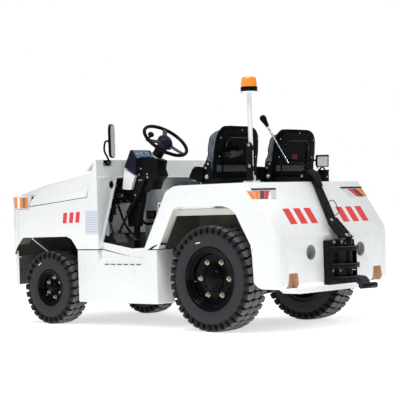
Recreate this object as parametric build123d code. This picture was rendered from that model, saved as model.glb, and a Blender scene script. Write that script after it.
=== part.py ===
from build123d import *
import os
from math import cos, hypot, radians, sin, tan

# Airport baggage tug. Millimetres, +X forward, +Y left, +Z up, floor at Z = 0.
os.makedirs("parts", exist_ok=True)

# ---- driving sizes ---------------------------------------------------------
half_width = 660
nose_x = 1496
front_axle_x = 1053
rear_axle_x = -680
cowl_x = 430
cowl_top_z = 1290
deck_z = 1063
deck_rear_x = -1077
crease_x = -1340
crease_z = 675
tail_floor_z = 316
cast_front_x = -1110
body_plate = 10
sheet = 5
floor_z = 540
floor_knee_x = 110
floor_rise = 64
mat_thickness = 6
box_bottom_z = 193
box_top_z = 594
box_front_x = 666
box_rear_x = -184
step_front_x = 447
step_rear_x = -54
step_z = 482
sill_lean = 42
panel_gap = 8
nose_corner_radius = 130
lamp_z0 = 929
lamp_z1 = 1033
lamp_length = 268
lamp_depth = 34
rear_tyre_radius = 384
rear_tyre_width = 208
rear_tyre_inset = 14
rear_flange_radius = 228
front_tyre_radius = 294
front_tyre_width = 172
front_tyre_inset = 38
front_flange_radius = 146
spindle_radius = 22
kingpin_radius = 16
kingpin_inset = 207
running_clearance = 0.4
seating_gap = 0.3
rail_y = 220
rail_width = 60
rail_z0 = 400
rail_z1 = 500
well_wall = 12
well_inset = 72
seat_gap_half = 92
seat_well_z = 945
seat_back_top_z = 1483
steer_hub_x, steer_hub_z = -11, 1416
steer_tilt = 41
wheel_rim_radius = 181
wheel_grip_radius = 12.5
hinge_x, hinge_z = 554, 1204
hinge_pin_radius = 3
hinge_barrel_radius = 5.5
hood_rear_x = 560
pole_x, pole_y = -850, 333
pole_radius = 17
beacon_plate_z = 1726
hitch_depth = 50
hitch_half_width = 155
jaw_reach = 110
jaw_thickness = 30
pin_radius = 20

# ---- sizes that follow from them -------------------------------------------
well_y = half_width - well_inset
seat_y = (well_y + seat_gap_half) / 2
seat_half = (well_y - seat_gap_half) / 2
sill_y = half_width - 2 - sill_lean
rear_face_y = half_width - rear_tyre_inset
front_face_y = half_width - front_tyre_inset
kingpin_y = front_face_y - kingpin_inset
lamp_rear_x = nose_x - lamp_length
corner_x = nose_x - nose_corner_radius
corner_y = half_width - nose_corner_radius
rail_front_x = nose_x - 50
rail_outer_y = rail_y + rail_width
hitch_face_x = crease_x - hitch_depth


# ---- small makers ----------------------------------------------------------
def block(x0, x1, y0, y1, z0, z1):
    shape = Box(abs(x1 - x0), abs(y1 - y0), abs(z1 - z0))
    return Pos((x0 + x1) / 2, (y0 + y1) / 2, (z0 + z1) / 2) * shape


def outline(corners, place):
    """Face inside (a, b) corners; (a, b, radius) rounds one. place turns (a, b) into a point."""
    stops = []
    for i, corner in enumerate(corners):
        here = Vector(*corner[:2])
        back = (Vector(*corners[i - 1][:2]) - here).normalized()
        ahead = (Vector(*corners[(i + 1) % len(corners)][:2]) - here).normalized()
        radius = corner[2] if len(corner) > 2 else 0
        half = radians(back.get_angle(ahead)) / 2
        if radius:
            reach = radius / tan(half)
            middle = here + (back + ahead).normalized() * (radius / sin(half) - radius)
            stops.append((here + back * reach, middle, here + ahead * reach))
        else:
            stops.append((here, None, here))
    edges = []
    for i, (start, middle, end) in enumerate(stops):
        if middle is not None:
            edges.append(ThreePointArc(place(start), place(middle), place(end)))
        following = stops[(i + 1) % len(stops)][0]
        if (following - end).length > 0.001:
            edges.append(Line(place(end), place(following)))
    return make_face(edges)


def side_prism(corners, y0, y1):
    """Outline in X and Z, carried across from y0 to y1."""
    face = outline(corners, lambda p: (p.X, min(y0, y1), p.Y))
    return extrude(face, amount=abs(y1 - y0), dir=(0, 1, 0))


def plan_prism(corners, z0, z1):
    """Outline in X and Y, carried up from z0 to z1."""
    face = outline(corners, lambda p: (p.X, p.Y, min(z0, z1)))
    return extrude(face, amount=abs(z1 - z0), dir=(0, 0, 1))


def front_prism(corners, x0, x1):
    """Outline in Y and Z, carried along from x0 to x1."""
    face = outline(corners, lambda p: (min(x0, x1), p.X, p.Y))
    return extrude(face, amount=abs(x1 - x0), dir=(1, 0, 0))


def rod(start, end, radius):
    a, b = Vector(*start), Vector(*end)
    plane = Plane(origin=a, z_dir=(b - a).normalized())
    return extrude(plane * Circle(radius), amount=(b - a).length)


def cross_rod(x, z, y0, y1, radius):
    return rod((x, min(y0, y1), z), (x, max(y0, y1), z), radius)


def turned(profile, y_face, side, x, z):
    """Profile of (inset from the outer face, radius) turned about the axle line."""
    points = [(0, side * (y_face - inset), r) for inset, r in profile]
    shape = revolve(make_face(Polyline(*points, close=True)), Axis.Y, 360)
    return Pos(x, 0, z) * shape


def mirrored(shape):
    return mirror(shape, about=Plane.XZ)


def both(shape):
    return shape + mirrored(shape)


def save(node, shape):
    if isinstance(shape, (list, ShapeList)):
        shape = Compound(children=list(shape))
    solids = shape.solids()
    assert len(solids) == 1, (node, len(solids))
    assert solids[0].is_valid, node
    export_step(solids[0], "parts/" + node + ".step")
    box = solids[0].bounding_box()
    print(node, round(solids[0].volume / 1e6, 2), [round(v) for v in (*box.min, *box.max)])


def floor_line(x):
    """Height of the floor's top: flat under the seats, then rising to the cowl."""
    return floor_z + max(0, x - floor_knee_x) * floor_rise / (cowl_x - floor_knee_x)


def around(table, axle_x, tyre_radius):
    """Arch corners from rows of (degrees about the axle, gap outside the tyre)."""
    corners = []
    for angle, gap in table:
        reach = tyre_radius + gap
        corners.append((axle_x + reach * cos(radians(angle)), tyre_radius + reach * sin(radians(angle))))
    return corners


# ---- chassis ---------------------------------------------------------------
axle_seat_z = rail_z0 + 42
member_width = 60
beam_rear_x = -150
beam_front_x = box_front_x - 106


def chassis_frame():
    rail = side_prism([(cast_front_x, rail_z0), (rail_front_x, rail_z0), (rail_front_x, rail_z1, 20),
                       (cast_front_x, rail_z1)], rail_y, rail_outer_y)
    # the rails are cut away over the rear axle
    notch = block(rear_axle_x - 70, rear_axle_x + 70, rail_y - 5, rail_outer_y + 5, rail_z0 - 5, axle_seat_z)
    frame = both(rail - notch)
    for x0 in (cast_front_x, -460, 380, rail_front_x - member_width):
        frame = frame + block(x0, x0 + member_width, -rail_y, rail_y, rail_z0, rail_z1)
    return frame


def cross_beam(x0):
    """Beam under the rails that carries the side boxes and the floor."""
    reach = half_width - 100
    return front_prism([(-reach, rail_z0), (-reach, rail_z0 - 30), (-rail_outer_y, rail_z0 - 60, 40),
                        (rail_outer_y, rail_z0 - 60, 40), (reach, rail_z0 - 30), (reach, rail_z0)],
                       x0, x0 + member_width)


save("chassis_frame", chassis_frame())
save("cross_beam_rear", cross_beam(beam_rear_x))
save("cross_beam_front", cross_beam(beam_front_x))

# engine and gearbox, one plain block between the rails and under the hood
engine_half = rail_y - 15
engine = side_prism([(650, 430), (1230, 430, 30), (1230, 880, 60), (650, 880, 60)], -engine_half, engine_half)
engine = engine + side_prism([(480, 440), (650, 430), (650, 590), (480, 560)], -120, 120)
engine = engine + block(900, 960, -rail_y, rail_y, 440, 480)
save("engine_block", engine)

# ---- front axle ------------------------------------------------------------
fz = front_tyre_radius
ear_inner = 62
ear_outer = 90
ear_half = 40
knuckle_half = 22
arm_z = fz + ear_outer + 4
arm_thickness = 12


def front_axle():
    x = front_axle_x
    axle = front_prism([(-360, fz - 35), (-300, fz - 35, 60), (-200, fz - 55, 60), (200, fz - 55, 60),
                        (300, fz - 35, 60), (360, fz - 35), (360, fz + 35), (-360, fz + 35)], x - 45, x + 45)
    plate_y = kingpin_y - 65
    yoke = block(x - ear_half, x + ear_half, plate_y, plate_y + 28, fz - ear_outer, fz + ear_outer)
    ear_plan = [(x - ear_half, plate_y), (x + ear_half, plate_y), (x + ear_half, kingpin_y + 33, 30),
                (x - ear_half, kingpin_y + 33, 30)]
    yoke = yoke + plan_prism(ear_plan, fz - ear_outer, fz - ear_inner)
    yoke = yoke + plan_prism(ear_plan, fz + ear_inner, fz + ear_outer)
    yoke = yoke - Pos(x, kingpin_y, fz) * Cylinder(kingpin_radius + running_clearance, 3 * ear_outer)
    post = block(x - ear_half, x + ear_half, rail_y + 6, rail_outer_y - 6, fz + 30, rail_z0)
    return axle + both(yoke + post)


def knuckle():
    x = front_axle_x
    body = block(x - knuckle_half, x + knuckle_half, kingpin_y - knuckle_half, kingpin_y + knuckle_half,
                 fz - ear_inner + 6, fz + ear_inner - 6)
    pin_low = fz - ear_outer + 6
    body = body + rod((x, kingpin_y, pin_low), (x, kingpin_y, arm_z + arm_thickness), kingpin_radius)
    body = body + cross_rod(x, fz, kingpin_y, front_face_y - 62, spindle_radius)
    # steering arm above the upper ear, reaching back to the tie rod's eye
    arm = plan_prism([(x + 20, kingpin_y - 22, 18), (x + 20, kingpin_y + 22, 18), (x - 20, kingpin_y + 22, 20),
                      (x - 130, kingpin_y + 10, 12), (x - 130, kingpin_y - 22, 12), (x - 20, kingpin_y - 22)],
                     arm_z, arm_z + arm_thickness)
    arm = arm - Pos(x - 114, kingpin_y - 6, arm_z) * Cylinder(7, 4 * arm_thickness)
    return body + arm


save("front_axle", front_axle())
save("knuckle_left", knuckle())
save("knuckle_right", mirrored(knuckle()))

# ---- wheels ----------------------------------------------------------------
# inset from the outer face, radius as a share of the wall between bead and tread
tyre_share = ((18, 0.0), (0, 0.42), (12, 0.82), (40, 1.0))


def tyre(radius, width, bead, face_y, side, x):
    wall = radius - bead
    outer = [(inset, bead + wall * share) for inset, share in tyre_share]
    inner = [(width - inset, r) for inset, r in reversed(outer)]
    return turned(outer + inner, face_y, side, x, radius)


def rim(radius, width, bead, face_y, side, x, well, hub_radius, hub_reach):
    """Dished rim with rolled lips and a hub bored for the spindle."""
    lip = bead - running_clearance
    bore = spindle_radius + running_clearance
    profile = [(10, lip - 16), (10, lip), (width - 12, lip), (width - 12, lip - 16)]
    profile += [(width - 40, well), (hub_reach + 62, well), (hub_reach + 62, bore)]
    profile += [(hub_reach, bore), (hub_reach, hub_radius), (hub_reach + 40, hub_radius)]
    profile += [(hub_reach + 46, well - 14), (40, well - 14)]
    return turned(profile, face_y, side, x, radius)


# name, tyre radius, width, flange radius, outer face, axle, well radius, hub radius, hub inset
wheel_rows = (("rear", rear_tyre_radius, rear_tyre_width, rear_flange_radius, rear_face_y, rear_axle_x, 52, 78, 22),
              ("front", front_tyre_radius, front_tyre_width, front_flange_radius, front_face_y, front_axle_x,
               38, 52, 18))
for end, radius, width, flange, face_y, axle_x, dish, hub_radius, hub_inset in wheel_rows:
    bead = flange - 12
    for name, side in (("left", 1), ("right", -1)):
        save(end + "_tyre_" + name, tyre(radius, width, bead, face_y, side, axle_x))
        save(end + "_rim_" + name, rim(radius, width, bead, face_y, side, axle_x, flange - dish,
                                       hub_radius, hub_inset))

# ---- rear axle -------------------------------------------------------------
rz = rear_tyre_radius


def rear_axle():
    """Banjo housing: a turned case with a tube each side and a pad under each rail."""
    spindle_y = rear_face_y - 60
    tube_y = rail_outer_y + 150
    case = [(0, -120, 48), (0, -60, 110), (0, -25, 146), (0, 25, 146), (0, 60, 110), (0, 120, 48)]
    points = [(x, y, r) for x, y, r in case] + [(0, 120, 0), (0, -120, 0)]
    axle = Pos(rear_axle_x, 0, rz) * revolve(make_face(Polyline(*points, close=True)), Axis.Y, 360)
    axle = axle + cross_rod(rear_axle_x, rz, -tube_y, tube_y, 48)
    axle = axle + cross_rod(rear_axle_x, rz, -spindle_y, spindle_y, spindle_radius)
    pad = block(rear_axle_x - 45, rear_axle_x + 45, rail_y + 6, rail_outer_y - 6, rz - 20, axle_seat_z)
    return axle + both(pad)


save("rear_axle", rear_axle())

# ---- rear body: fenders, deck, seat well and the cast tail in one weldment --
arch_lip = 95
house_y = 330
house_top_z = 884
# outside in side view
body_side = [(-58, box_top_z + panel_gap), (-292, 1018, 40), (-372, 1058, 60), (-440, deck_z),
             (deck_rear_x, deck_z), (crease_x, crease_z), (crease_x, tail_floor_z + 30, 12),
             (crease_x + 24, tail_floor_z), (cast_front_x, tail_floor_z), (cast_front_x, box_top_z + panel_gap)]
# degrees about the rear axle, gap outside the tyre
rear_arch = ((24.6, 140), (57.7, 210), (60.6, 212), (64.9, 196), (107.0, 159), (114.8, 168), (121.2, 159),
             (128.8, 125), (138.6, 101), (149.0, 94), (157.8, 70), (182.8, 48), (188.1, 97))
corner_lean = 32
tail_slope = (deck_z - crease_z) / (deck_rear_x - crease_x)


def slope_z(x):
    """Height of the tail's slope at x."""
    return deck_z - tail_slope * (deck_rear_x - x)


def tail_plan():
    """Plan of the whole width, with the tail's corners drawn in."""
    left = [(crease_x, half_width - 77), (crease_x + 7, half_width - 24, 20), (crease_x + corner_lean, half_width)]
    right = [(c[0], -c[1], *c[2:]) for c in reversed(left)]
    return left + [(0, half_width), (0, -half_width)] + right


def fender_shell():
    """Deck, side skins and the fenders' sloping fronts, open below and in front of the casting."""
    outer = side_prism(body_side, -half_width, half_width) & plan_prism(tail_plan(), 0, 2000)
    t = body_plate
    drop = t * hypot(1, tail_slope)
    inside = [(-72, tail_floor_z - 60), (-72, box_top_z + panel_gap), (-300, 1005, 30), (-380, deck_z - 14, 40),
              (-440, deck_z - t), (deck_rear_x + (drop - t) / tail_slope, deck_z - t),
              (cast_front_x, slope_z(cast_front_x) - drop), (cast_front_x, tail_floor_z - 60)]
    return outer - side_prism(inside, -(half_width - t), half_width - t)


def arches(shell):
    corners = around(rear_arch, rear_axle_x, rear_tyre_radius)
    strip = around([(angle, gap + 10) for angle, gap in rear_arch[:-1]], rear_axle_x, rear_tyre_radius)
    low = [(corners[-1][0], 150), (corners[0][0], 150)]
    flange = side_prism(strip + [(strip[-1][0], 250), (strip[0][0], 250)], half_width - arch_lip, half_width - 1)
    flange = flange & side_prism([(-72, box_top_z + panel_gap), (-300, 1005), (-440, deck_z - 2), (-1090, deck_z - 2),
                                  (-1130, tail_floor_z), (-60, tail_floor_z)], 0, half_width)
    flange = flange - block(-250, 0, 0, half_width, 0, box_top_z + panel_gap)
    cut = side_prism(corners + low, half_width - arch_lip - 30, half_width + 30)
    return shell + both(flange) - both(cut)


def seat_well(shell):
    """Cut the well into the deck and give it its walls."""
    t = well_wall
    shell = shell - block(-700, 60, -well_y, well_y, box_top_z - 10, 1400)
    shell = shell + block(-700 - body_plate, -700, -well_y - 4, well_y + 4, house_top_z, deck_z - 4)
    side_wall = side_prism([(-110, 640), (-300, 1000), (-372, 1050), (-700, 1055), (-700, house_top_z + 6),
                            (-320, house_top_z + 6), (-190, 640)], well_y, well_y + t)
    return shell + both(side_wall)


def wheel_houses(shell):
    """Roof and inner wall over each rear tyre."""
    t = 6
    roof = block(-710, -330, house_y, well_y + 4, house_top_z, house_top_z + t)
    wall = side_prism([(-330, house_top_z + t), (-700, house_top_z + t), (-700, deck_z - 4), (deck_rear_x + 4, deck_z - 4),
                       (cast_front_x - 2, slope_z(cast_front_x - 2) - 6), (cast_front_x - 2, rz + 56),
                       (-330, rz + 56)], house_y, house_y + t)
    back = block(-1060, -700, house_y, well_y + 4, house_top_z + 36, house_top_z + 36 + t)
    back = back + block(-706, -700, house_y, well_y, house_top_z, house_top_z + 40)
    return shell + both(roof + wall + back)


recess_y, recess_z, recess_radius = 298, 560, 54
pocket_y, pocket_top_z = 505, 424
tail_lamp_y = 420
# the lamp's section on the slope, and the part that wraps onto the side
lamp_side = [(-1108, 1016), (-1158, 942), (-1136, 928), (-1086, 1002)]
lamp_wrap = [(-1108, 1016), (-1158, 942), (-1104, 942), (-1062, 1016)]


def tail_lamp():
    lens = side_prism(lamp_side, tail_lamp_y, half_width)
    return lens + side_prism(lamp_wrap, half_width - 22, half_width)


def tail(shell):
    """Recesses, pockets, belly and rounded lower corners of the casting."""
    keep = [(-half_width, tail_floor_z, 45), (half_width, tail_floor_z, 45), (half_width, 1200), (-half_width, 1200)]
    square = block(crease_x - 5, cast_front_x + 5, -half_width - 5, half_width + 5, tail_floor_z - 5, 500)
    shell = shell - (square - front_prism(keep, crease_x - 10, cast_front_x + 10))
    for side in (-1, 1):
        cone = Pos(crease_x + 20, side * recess_y, recess_z) * Rot(0, -90, 0)
        shell = shell - cone * Cone(recess_radius - 18, recess_radius, 44)
        low, high = 69, 46
        pocket = [(side * (pocket_y - low), tail_floor_z - 10), (side * (pocket_y - high), pocket_top_z, 8),
                  (side * (pocket_y + high), pocket_top_z, 8), (side * (pocket_y + low), tail_floor_z - 10)]
        shell = shell - front_prism(pocket, crease_x - 5, crease_x + 55)
    belly = [(-470, tail_floor_z + 4), (-400, tail_floor_z - 42, 20), (400, tail_floor_z - 42, 20),
             (470, tail_floor_z + 4)]
    return shell + front_prism(belly, crease_x + 30, crease_x + 180) - both(tail_lamp())


save("rear_body", tail(wheel_houses(seat_well(arches(fender_shell())))))
save("tail_lamp_left", tail_lamp())
save("tail_lamp_right", mirrored(tail_lamp()))

# seat base: the tray between the rear fenders and its riser
tray_y = well_y - 3
tray = side_prism([(-698, seat_well_z - 12), (-150, seat_well_z - 12), (-150, floor_z), (-140, floor_z),
                   (-140, seat_well_z - 2, 8), (-698, seat_well_z - 2)], -tray_y, tray_y)
save("seat_base", tray)

# ---- floor -----------------------------------------------------------------
floor_side = [(-150, floor_z - 8), (floor_knee_x, floor_z - 8), (cowl_x, floor_line(cowl_x) - 8),
              (cowl_x, floor_line(cowl_x)), (floor_knee_x, floor_z), (-150, floor_z)]
floor = side_prism(floor_side, -sill_y, sill_y)
toe_x, toe_z = 640, 708
floor = floor + side_prism([(cowl_x - 0.5, floor_line(cowl_x) - 8), (toe_x, toe_z - 8), (toe_x, toe_z),
                            (cowl_x - 0.5, floor_line(cowl_x))], -half_width + 100, half_width - 100)
foot = block(beam_rear_x, beam_rear_x + member_width, rail_outer_y + 20, half_width - 120, rail_z0, floor_z - 7)
save("floor_pan", floor + both(foot))

mat_low = 0.4
mat_top = mat_low + mat_thickness
mat_rear_x, mat_front_x = -138, cowl_x - 6
mat = side_prism([(mat_rear_x, floor_z + mat_low), (floor_knee_x, floor_z + mat_low),
                  (mat_front_x, floor_line(mat_front_x) + mat_low), (mat_front_x, floor_line(mat_front_x) + mat_top),
                  (floor_knee_x, floor_z + mat_top), (mat_rear_x, floor_z + mat_top)], 184, sill_y - 2)
save("floor_mat_left", mat)
save("floor_mat_right", mirrored(mat))

# engine cover between the two foot wells: a folded sheet, open below and behind
cover_front_x, cover_top_z, cover_y = cowl_x - 40, 1050, 180
cover = side_prism([(-139.5, floor_z), (floor_knee_x, floor_z), (cover_front_x, floor_line(cover_front_x)),
                    (cover_front_x, cover_top_z, 70), (-139.5, cover_top_z, 12)], -cover_y, cover_y)
inner_y = cover_y - 6
cover = cover - side_prism([(-160, 400), (cover_front_x - 6, 400), (cover_front_x - 6, cover_top_z - 6, 64),
                            (-160, cover_top_z - 6)], -inner_y, inner_y)
save("engine_cover", cover)

# ---- side boxes with the step pocket ---------------------------------------
box_inner_y = half_width - 180
box_outer_y = half_width - 2


def side_box():
    """Welded box, open on the chassis side and under the floor, with a leaning sill behind the step."""
    box_outline = [(box_rear_x, box_bottom_z, 12), (box_front_x, box_bottom_z, 12), (box_front_x, box_top_z),
                   (box_rear_x, box_top_z)]
    inset = [(box_rear_x + sheet, box_bottom_z + sheet), (box_front_x - sheet, box_bottom_z + sheet),
             (box_front_x - sheet, box_top_z - sheet), (box_rear_x + sheet, box_top_z - sheet)]
    shell = side_prism(box_outline, box_inner_y, box_outer_y) - side_prism(inset, box_inner_y - 5, box_outer_y - sheet)
    under_floor = side_prism([(-150, box_top_z + 5), (-150, floor_z - 8.2), (floor_knee_x, floor_z - 8.2),
                              (cowl_x + 20, box_top_z + 5)], box_inner_y - 10, sill_y)
    doorway = front_prism([(half_width + 5, step_z), (box_outer_y, step_z), (sill_y, floor_z - 2),
                           (sill_y, 620), (half_width + 5, 620)], step_rear_x, step_front_x)
    sill = front_prism([(box_outer_y - sheet, step_z - 4), (box_outer_y, step_z), (sill_y + 4, floor_z - 6),
                        (sill_y + 4, box_top_z - 2), (sill_y + 0.2, box_top_z - 2), (sill_y + 0.2, floor_z - 8)],
                       step_rear_x - 1, step_front_x + 1)
    sill = sill - side_prism([(step_rear_x - 5, 620), (step_rear_x - 5, floor_z), (floor_knee_x, floor_z),
                              (cowl_x, floor_line(cowl_x) - 10), (cowl_x + 30, floor_line(cowl_x) - 10),
                              (cowl_x + 30, 620)], box_inner_y - 10, half_width)
    shell = shell - doorway - under_floor
    for x in (step_rear_x - sheet, step_front_x):
        shell = shell + block(x, x + sheet, sill_y + 0.2, box_outer_y - 1, step_z - 8, box_top_z - 1)
    return shell + sill


save("side_box_left", side_box())
save("side_box_right", mirrored(side_box()))

# ---- front body ------------------------------------------------------------
fender_rear_z = box_top_z + panel_gap
fender_x = corner_x - 2
lamp_ledge_z = lamp_z0 - 3
# the arch's underside from the box forward, cut off on the line that crosses the nose's corner
arch_rise = 1.023


def arch_front_z(x):
    return 697 - (x - 1310) * arch_rise


arch_low = [(669, fender_rear_z), (696, 637, 20), (735, 682, 30), (789, 702, 30), (1310, 697, 20),
            (fender_x, arch_front_z(fender_x))]


def front_fender():
    top = [(lamp_rear_x - 4, lamp_ledge_z), (lamp_rear_x - 12, 944), (cowl_x + 112, 1002)]
    side = arch_low + [(fender_x, lamp_ledge_z)] + top + [(cowl_x + 24, cowl_top_z), (cowl_x, cowl_top_z),
                                                         (cowl_x, fender_rear_z)]
    fender = side_prism(side, half_width - sheet, half_width)
    # rolled strip inside the arch
    strip = [(c[0], c[1]) for c in arch_low] + [(c[0], c[1] + 6) for c in reversed(arch_low)]
    fender = fender + side_prism(strip, half_width - 110, half_width - 1)
    ledge = [(cowl_x + 112, 1002), (lamp_rear_x - 12, 944), (lamp_rear_x - 4, lamp_ledge_z), (fender_x, lamp_ledge_z),
             (fender_x, lamp_ledge_z - 6), (lamp_rear_x - 8, lamp_ledge_z - 6), (lamp_rear_x - 16, 938),
             (cowl_x + 112, 996)]
    fender = fender + side_prism(ledge, half_width - 60, half_width - 1)
    fender = fender + block(cowl_x, cowl_x + sheet, half_width - 20, half_width - 1, fender_rear_z, cowl_top_z - 6.2)
    # stay that ties the arch to the rails
    stay = [(half_width - 108, 698), (half_width - 108, 684), (rail_outer_y, rail_z1), (rail_y + 20, rail_z1),
            (rail_y + 20, rail_z1 + 30)]
    return fender + front_prism(stay, 1310, 1330) + block(1300, 1335, half_width - 112, half_width - 100, 684, 699)


save("front_fender_left", front_fender())
save("front_fender_right", mirrored(front_fender()))


def nose_plan(inset, rear_x):
    """Plan of the front end with its rounded corners, from rear_x forward."""
    reach, wide, radius = nose_x - inset, half_width - inset, nose_corner_radius - inset
    return [(rear_x, wide), (rear_x, -wide), (reach, -wide, radius), (reach, wide, radius)]


skirt_z = 560
bumper_low_z = 311
bumper_x = nose_x - 20
bumper_y = 592


def nose_panel():
    """Wrapped skin, cut on the arch's line, with a flat lower panel and its stiffener."""
    skin = plan_prism(nose_plan(0, corner_x), skirt_z, lamp_z0)
    skin = skin - plan_prism(nose_plan(sheet, corner_x - 40), skirt_z - 1, lamp_z0 + 2)
    edge = [(corner_x - 60, arch_front_z(corner_x - 60)), (nose_x - 50, arch_front_z(nose_x - 50)),
            (nose_x - 50, skirt_z - 20), (corner_x - 60, skirt_z - 20)]
    skin = skin - both(side_prism(edge, half_width - 180, half_width + 5))
    skin = skin + block(nose_x - 6, nose_x, -470, 470, lamp_z0 - 3, lamp_z1)
    lower = front_prism([(-bumper_y, bumper_low_z, 10), (bumper_y, bumper_low_z, 10), (bumper_y, 628),
                         (-bumper_y, 628)], bumper_x, bumper_x + 6)
    lower = lower + block(bumper_x, nose_x - 4, -520, 520, 600, 626)
    side = block(bumper_x - 30, bumper_x, bumper_y - 8, bumper_y, bumper_low_z, 590)
    side = side + block(bumper_x - 60, bumper_x, 470, bumper_y, 536, 542)
    side = side + block(rail_front_x, bumper_x, rail_y + 4, rail_outer_y - 4, rail_z0 + 4, rail_z1 - 4)
    # lap plate behind the joint with the fender
    side = side + block(corner_x - 30, corner_x + 16, half_width - 12, half_width - sheet - 0.2, 720, 900)
    side = side + block(corner_x + 2, corner_x + 15, half_width - 12, half_width - 4, 720, 900)
    return skin + lower + both(side)


save("nose_panel", nose_panel())

# corner lamps wrap the front corners between fender and hood
lamp_inner_edge_y = 472
lamp_band = plan_prism(nose_plan(0, lamp_rear_x), lamp_z0, lamp_z1 - 3)
lamp_band = lamp_band - plan_prism(nose_plan(lamp_depth, lamp_rear_x - 5), lamp_z0 - 1, lamp_z1)
for name, side in (("left", 1), ("right", -1)):
    keep = block(lamp_rear_x - 1, nose_x + 1, side * lamp_inner_edge_y, side * 900, lamp_z0 - 5, lamp_z1 + 5)
    save("corner_lamp_" + name, lamp_band & keep)

# hood: lid with flanks, open under
hood_gap = 6
hood_front_x = nose_x - 2
# X, Z of the gap line, half width of the top, Z of the top
hood_rows = ((hood_rear_x, 1000 + hood_gap, 500, 1208),
             (lamp_rear_x - 6, 944 + hood_gap, 490, 1112),
             (hood_front_x, 928 + hood_gap, 475, 1054))


def hood_section(x, low, top_half, top, inset):
    wide = half_width - hood_gap - inset
    low = low - (30 if inset else 0)
    left = [(x, wide, low), (x, wide - 14, low + 40 - inset * 0.5), (x, top_half + 40 - inset, top - 14 - inset),
            (x, top_half - inset, top - inset)]
    return make_face(Polyline(*left, *[(a, -b, c) for a, b, c in reversed(left)], close=True))


def hood_body(inset, front_x):
    body = None
    for row_a, row_b in zip(hood_rows[:-1], hood_rows[1:]):
        end = (front_x,) + row_b[1:] if row_b is hood_rows[-1] else row_b
        piece = loft([hood_section(*row_a, inset), hood_section(*end, inset)], ruled=True)
        body = piece if body is None else body + piece
    return body & plan_prism(nose_plan(2 + inset, hood_rear_x - 10), 800, 1400)


def hinge_barrels(y0, y1, radius):
    return both(cross_rod(hinge_x, hinge_z, y0, y1, radius))


# the hood's knuckle lies between the cowl's two, y from and to
hood_knuckle = (292, 328)
cowl_knuckles = ((270, 290), (330, 350))


def hood():
    lid = hood_body(0, hood_front_x) - hood_body(sheet, hood_front_x - sheet)
    lid = lid - block(lamp_rear_x - 6, nose_x + 10, -half_width - 5, half_width + 5, 900, lamp_z1 + 5)
    leaf = block(hinge_x + 1, hinge_x + 24, *hood_knuckle, hinge_z - 5, hinge_z)
    for y0, y1 in cowl_knuckles:
        lid = lid - hinge_barrels(y0 - 2, y1 + 2, hinge_barrel_radius + 3)
    lid = lid + both(leaf) + hinge_barrels(*hood_knuckle, hinge_barrel_radius)
    return lid - hinge_barrels(hood_knuckle[0] - 5, hood_knuckle[1] + 5, hinge_pin_radius + 0.3)


save("hood", hood())


# ---- cowl ------------------------------------------------------------------
toe_top_z = 1150
cowl_edge_x = hinge_x - 6


def cowl():
    """Bulkhead with a trapezoid opening into a toe box, and the sloping top that carries the hood's hinge."""
    c = cowl_x
    wide = half_width - 20
    plate = front_prism([(wide, 606), (wide, cowl_top_z), (-wide, cowl_top_z), (-wide, 606), (-wide + 16, 606),
                         (-441, toe_top_z, 25), (441, toe_top_z, 25), (wide - 16, 606)], c, c + sheet)
    top = side_prism([(c, cowl_top_z), (c + 20, cowl_top_z, 12), (cowl_edge_x, 1212), (cowl_edge_x, 1206),
                      (c + 20, cowl_top_z - 6), (c, cowl_top_z - 6)], -half_width + 8, half_width - 8)
    toe_y = half_width - 114
    box = block(c, toe_x - 16, -440, 440, toe_top_z, toe_top_z + 6)
    box = box + block(toe_x - 22, toe_x - 16, -toe_y, toe_y, toe_z + 4, toe_top_z + 6)
    cheek = side_prism([(c + 1, 700), (toe_x - 18, toe_z + 8), (toe_x - 18, toe_top_z + 2), (c + 1, toe_top_z + 2)],
                       toe_y - 6, toe_y)
    cheek = cheek + block(c, toe_x - 16, 430, toe_y, toe_top_z, toe_top_z + 6)
    cheek = cheek + side_prism([(c + 1, toe_top_z - 10), (cowl_edge_x - 4, toe_top_z - 10), (cowl_edge_x - 4, 1208),
                                (c + 18, cowl_top_z - 3), (c + 1, cowl_top_z - 3)], 560, 566)
    lug = [(cowl_edge_x - 12, 1206), (hinge_x, hinge_z - hinge_barrel_radius),
           (hinge_x, hinge_z + hinge_barrel_radius - 1), (cowl_edge_x - 12, 1216)]
    for y0, y1 in cowl_knuckles:
        cheek = cheek + side_prism(lug, y0, y1) + cross_rod(hinge_x, hinge_z, y0, y1, hinge_barrel_radius)
    cheek = cheek + cross_rod(hinge_x, hinge_z, cowl_knuckles[0][0], cowl_knuckles[1][1], hinge_pin_radius)
    return plate + top + box + both(cheek)


save("cowl", cowl())

# ---- seats -----------------------------------------------------------------
tray_top_z = seat_well_z - 2 + seating_gap
cushion_half = seat_half - 18
back_low_z = 1075


def seat_cushion(y):
    side = [(-590, tray_top_z, 10), (-190, tray_top_z), (-165, tray_top_z + 40, 15), (-168, 1062, 40),
            (-260, 1102, 60), (-590, 1092, 12)]
    return side_prism(side, y - cushion_half, y + cushion_half)


def seat_back(y, shift_x, top_z):
    """Leaning shell with rounded shoulders, narrower where it stands in the well."""
    side = [(-674, tray_top_z, 8), (-676, 1066), (-680, 1200, 200), (-712, 1400, 200), (-724, top_z, 16),
            (-658, top_z, 26), (-640, 1410, 120), (-600, 1220, 120), (-591, back_low_z), (-591, tray_top_z, 8)]
    profile = side_prism([(c[0] + shift_x, *c[1:]) for c in side], y - seat_half, y + seat_half)
    wide, low = seat_half, cushion_half - 4
    front = [(y - low, tray_top_z), (y + low, tray_top_z), (y + low, back_low_z), (y + wide, back_low_z + 20, 15),
             (y + wide, 1300, 150), (y + wide - 52, top_z, 90), (y - wide + 52, top_z, 90), (y - wide, 1300, 150),
             (y - wide, back_low_z + 20, 15), (y - low, back_low_z)]
    return profile & front_prism(front, -800, -500)


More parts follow.
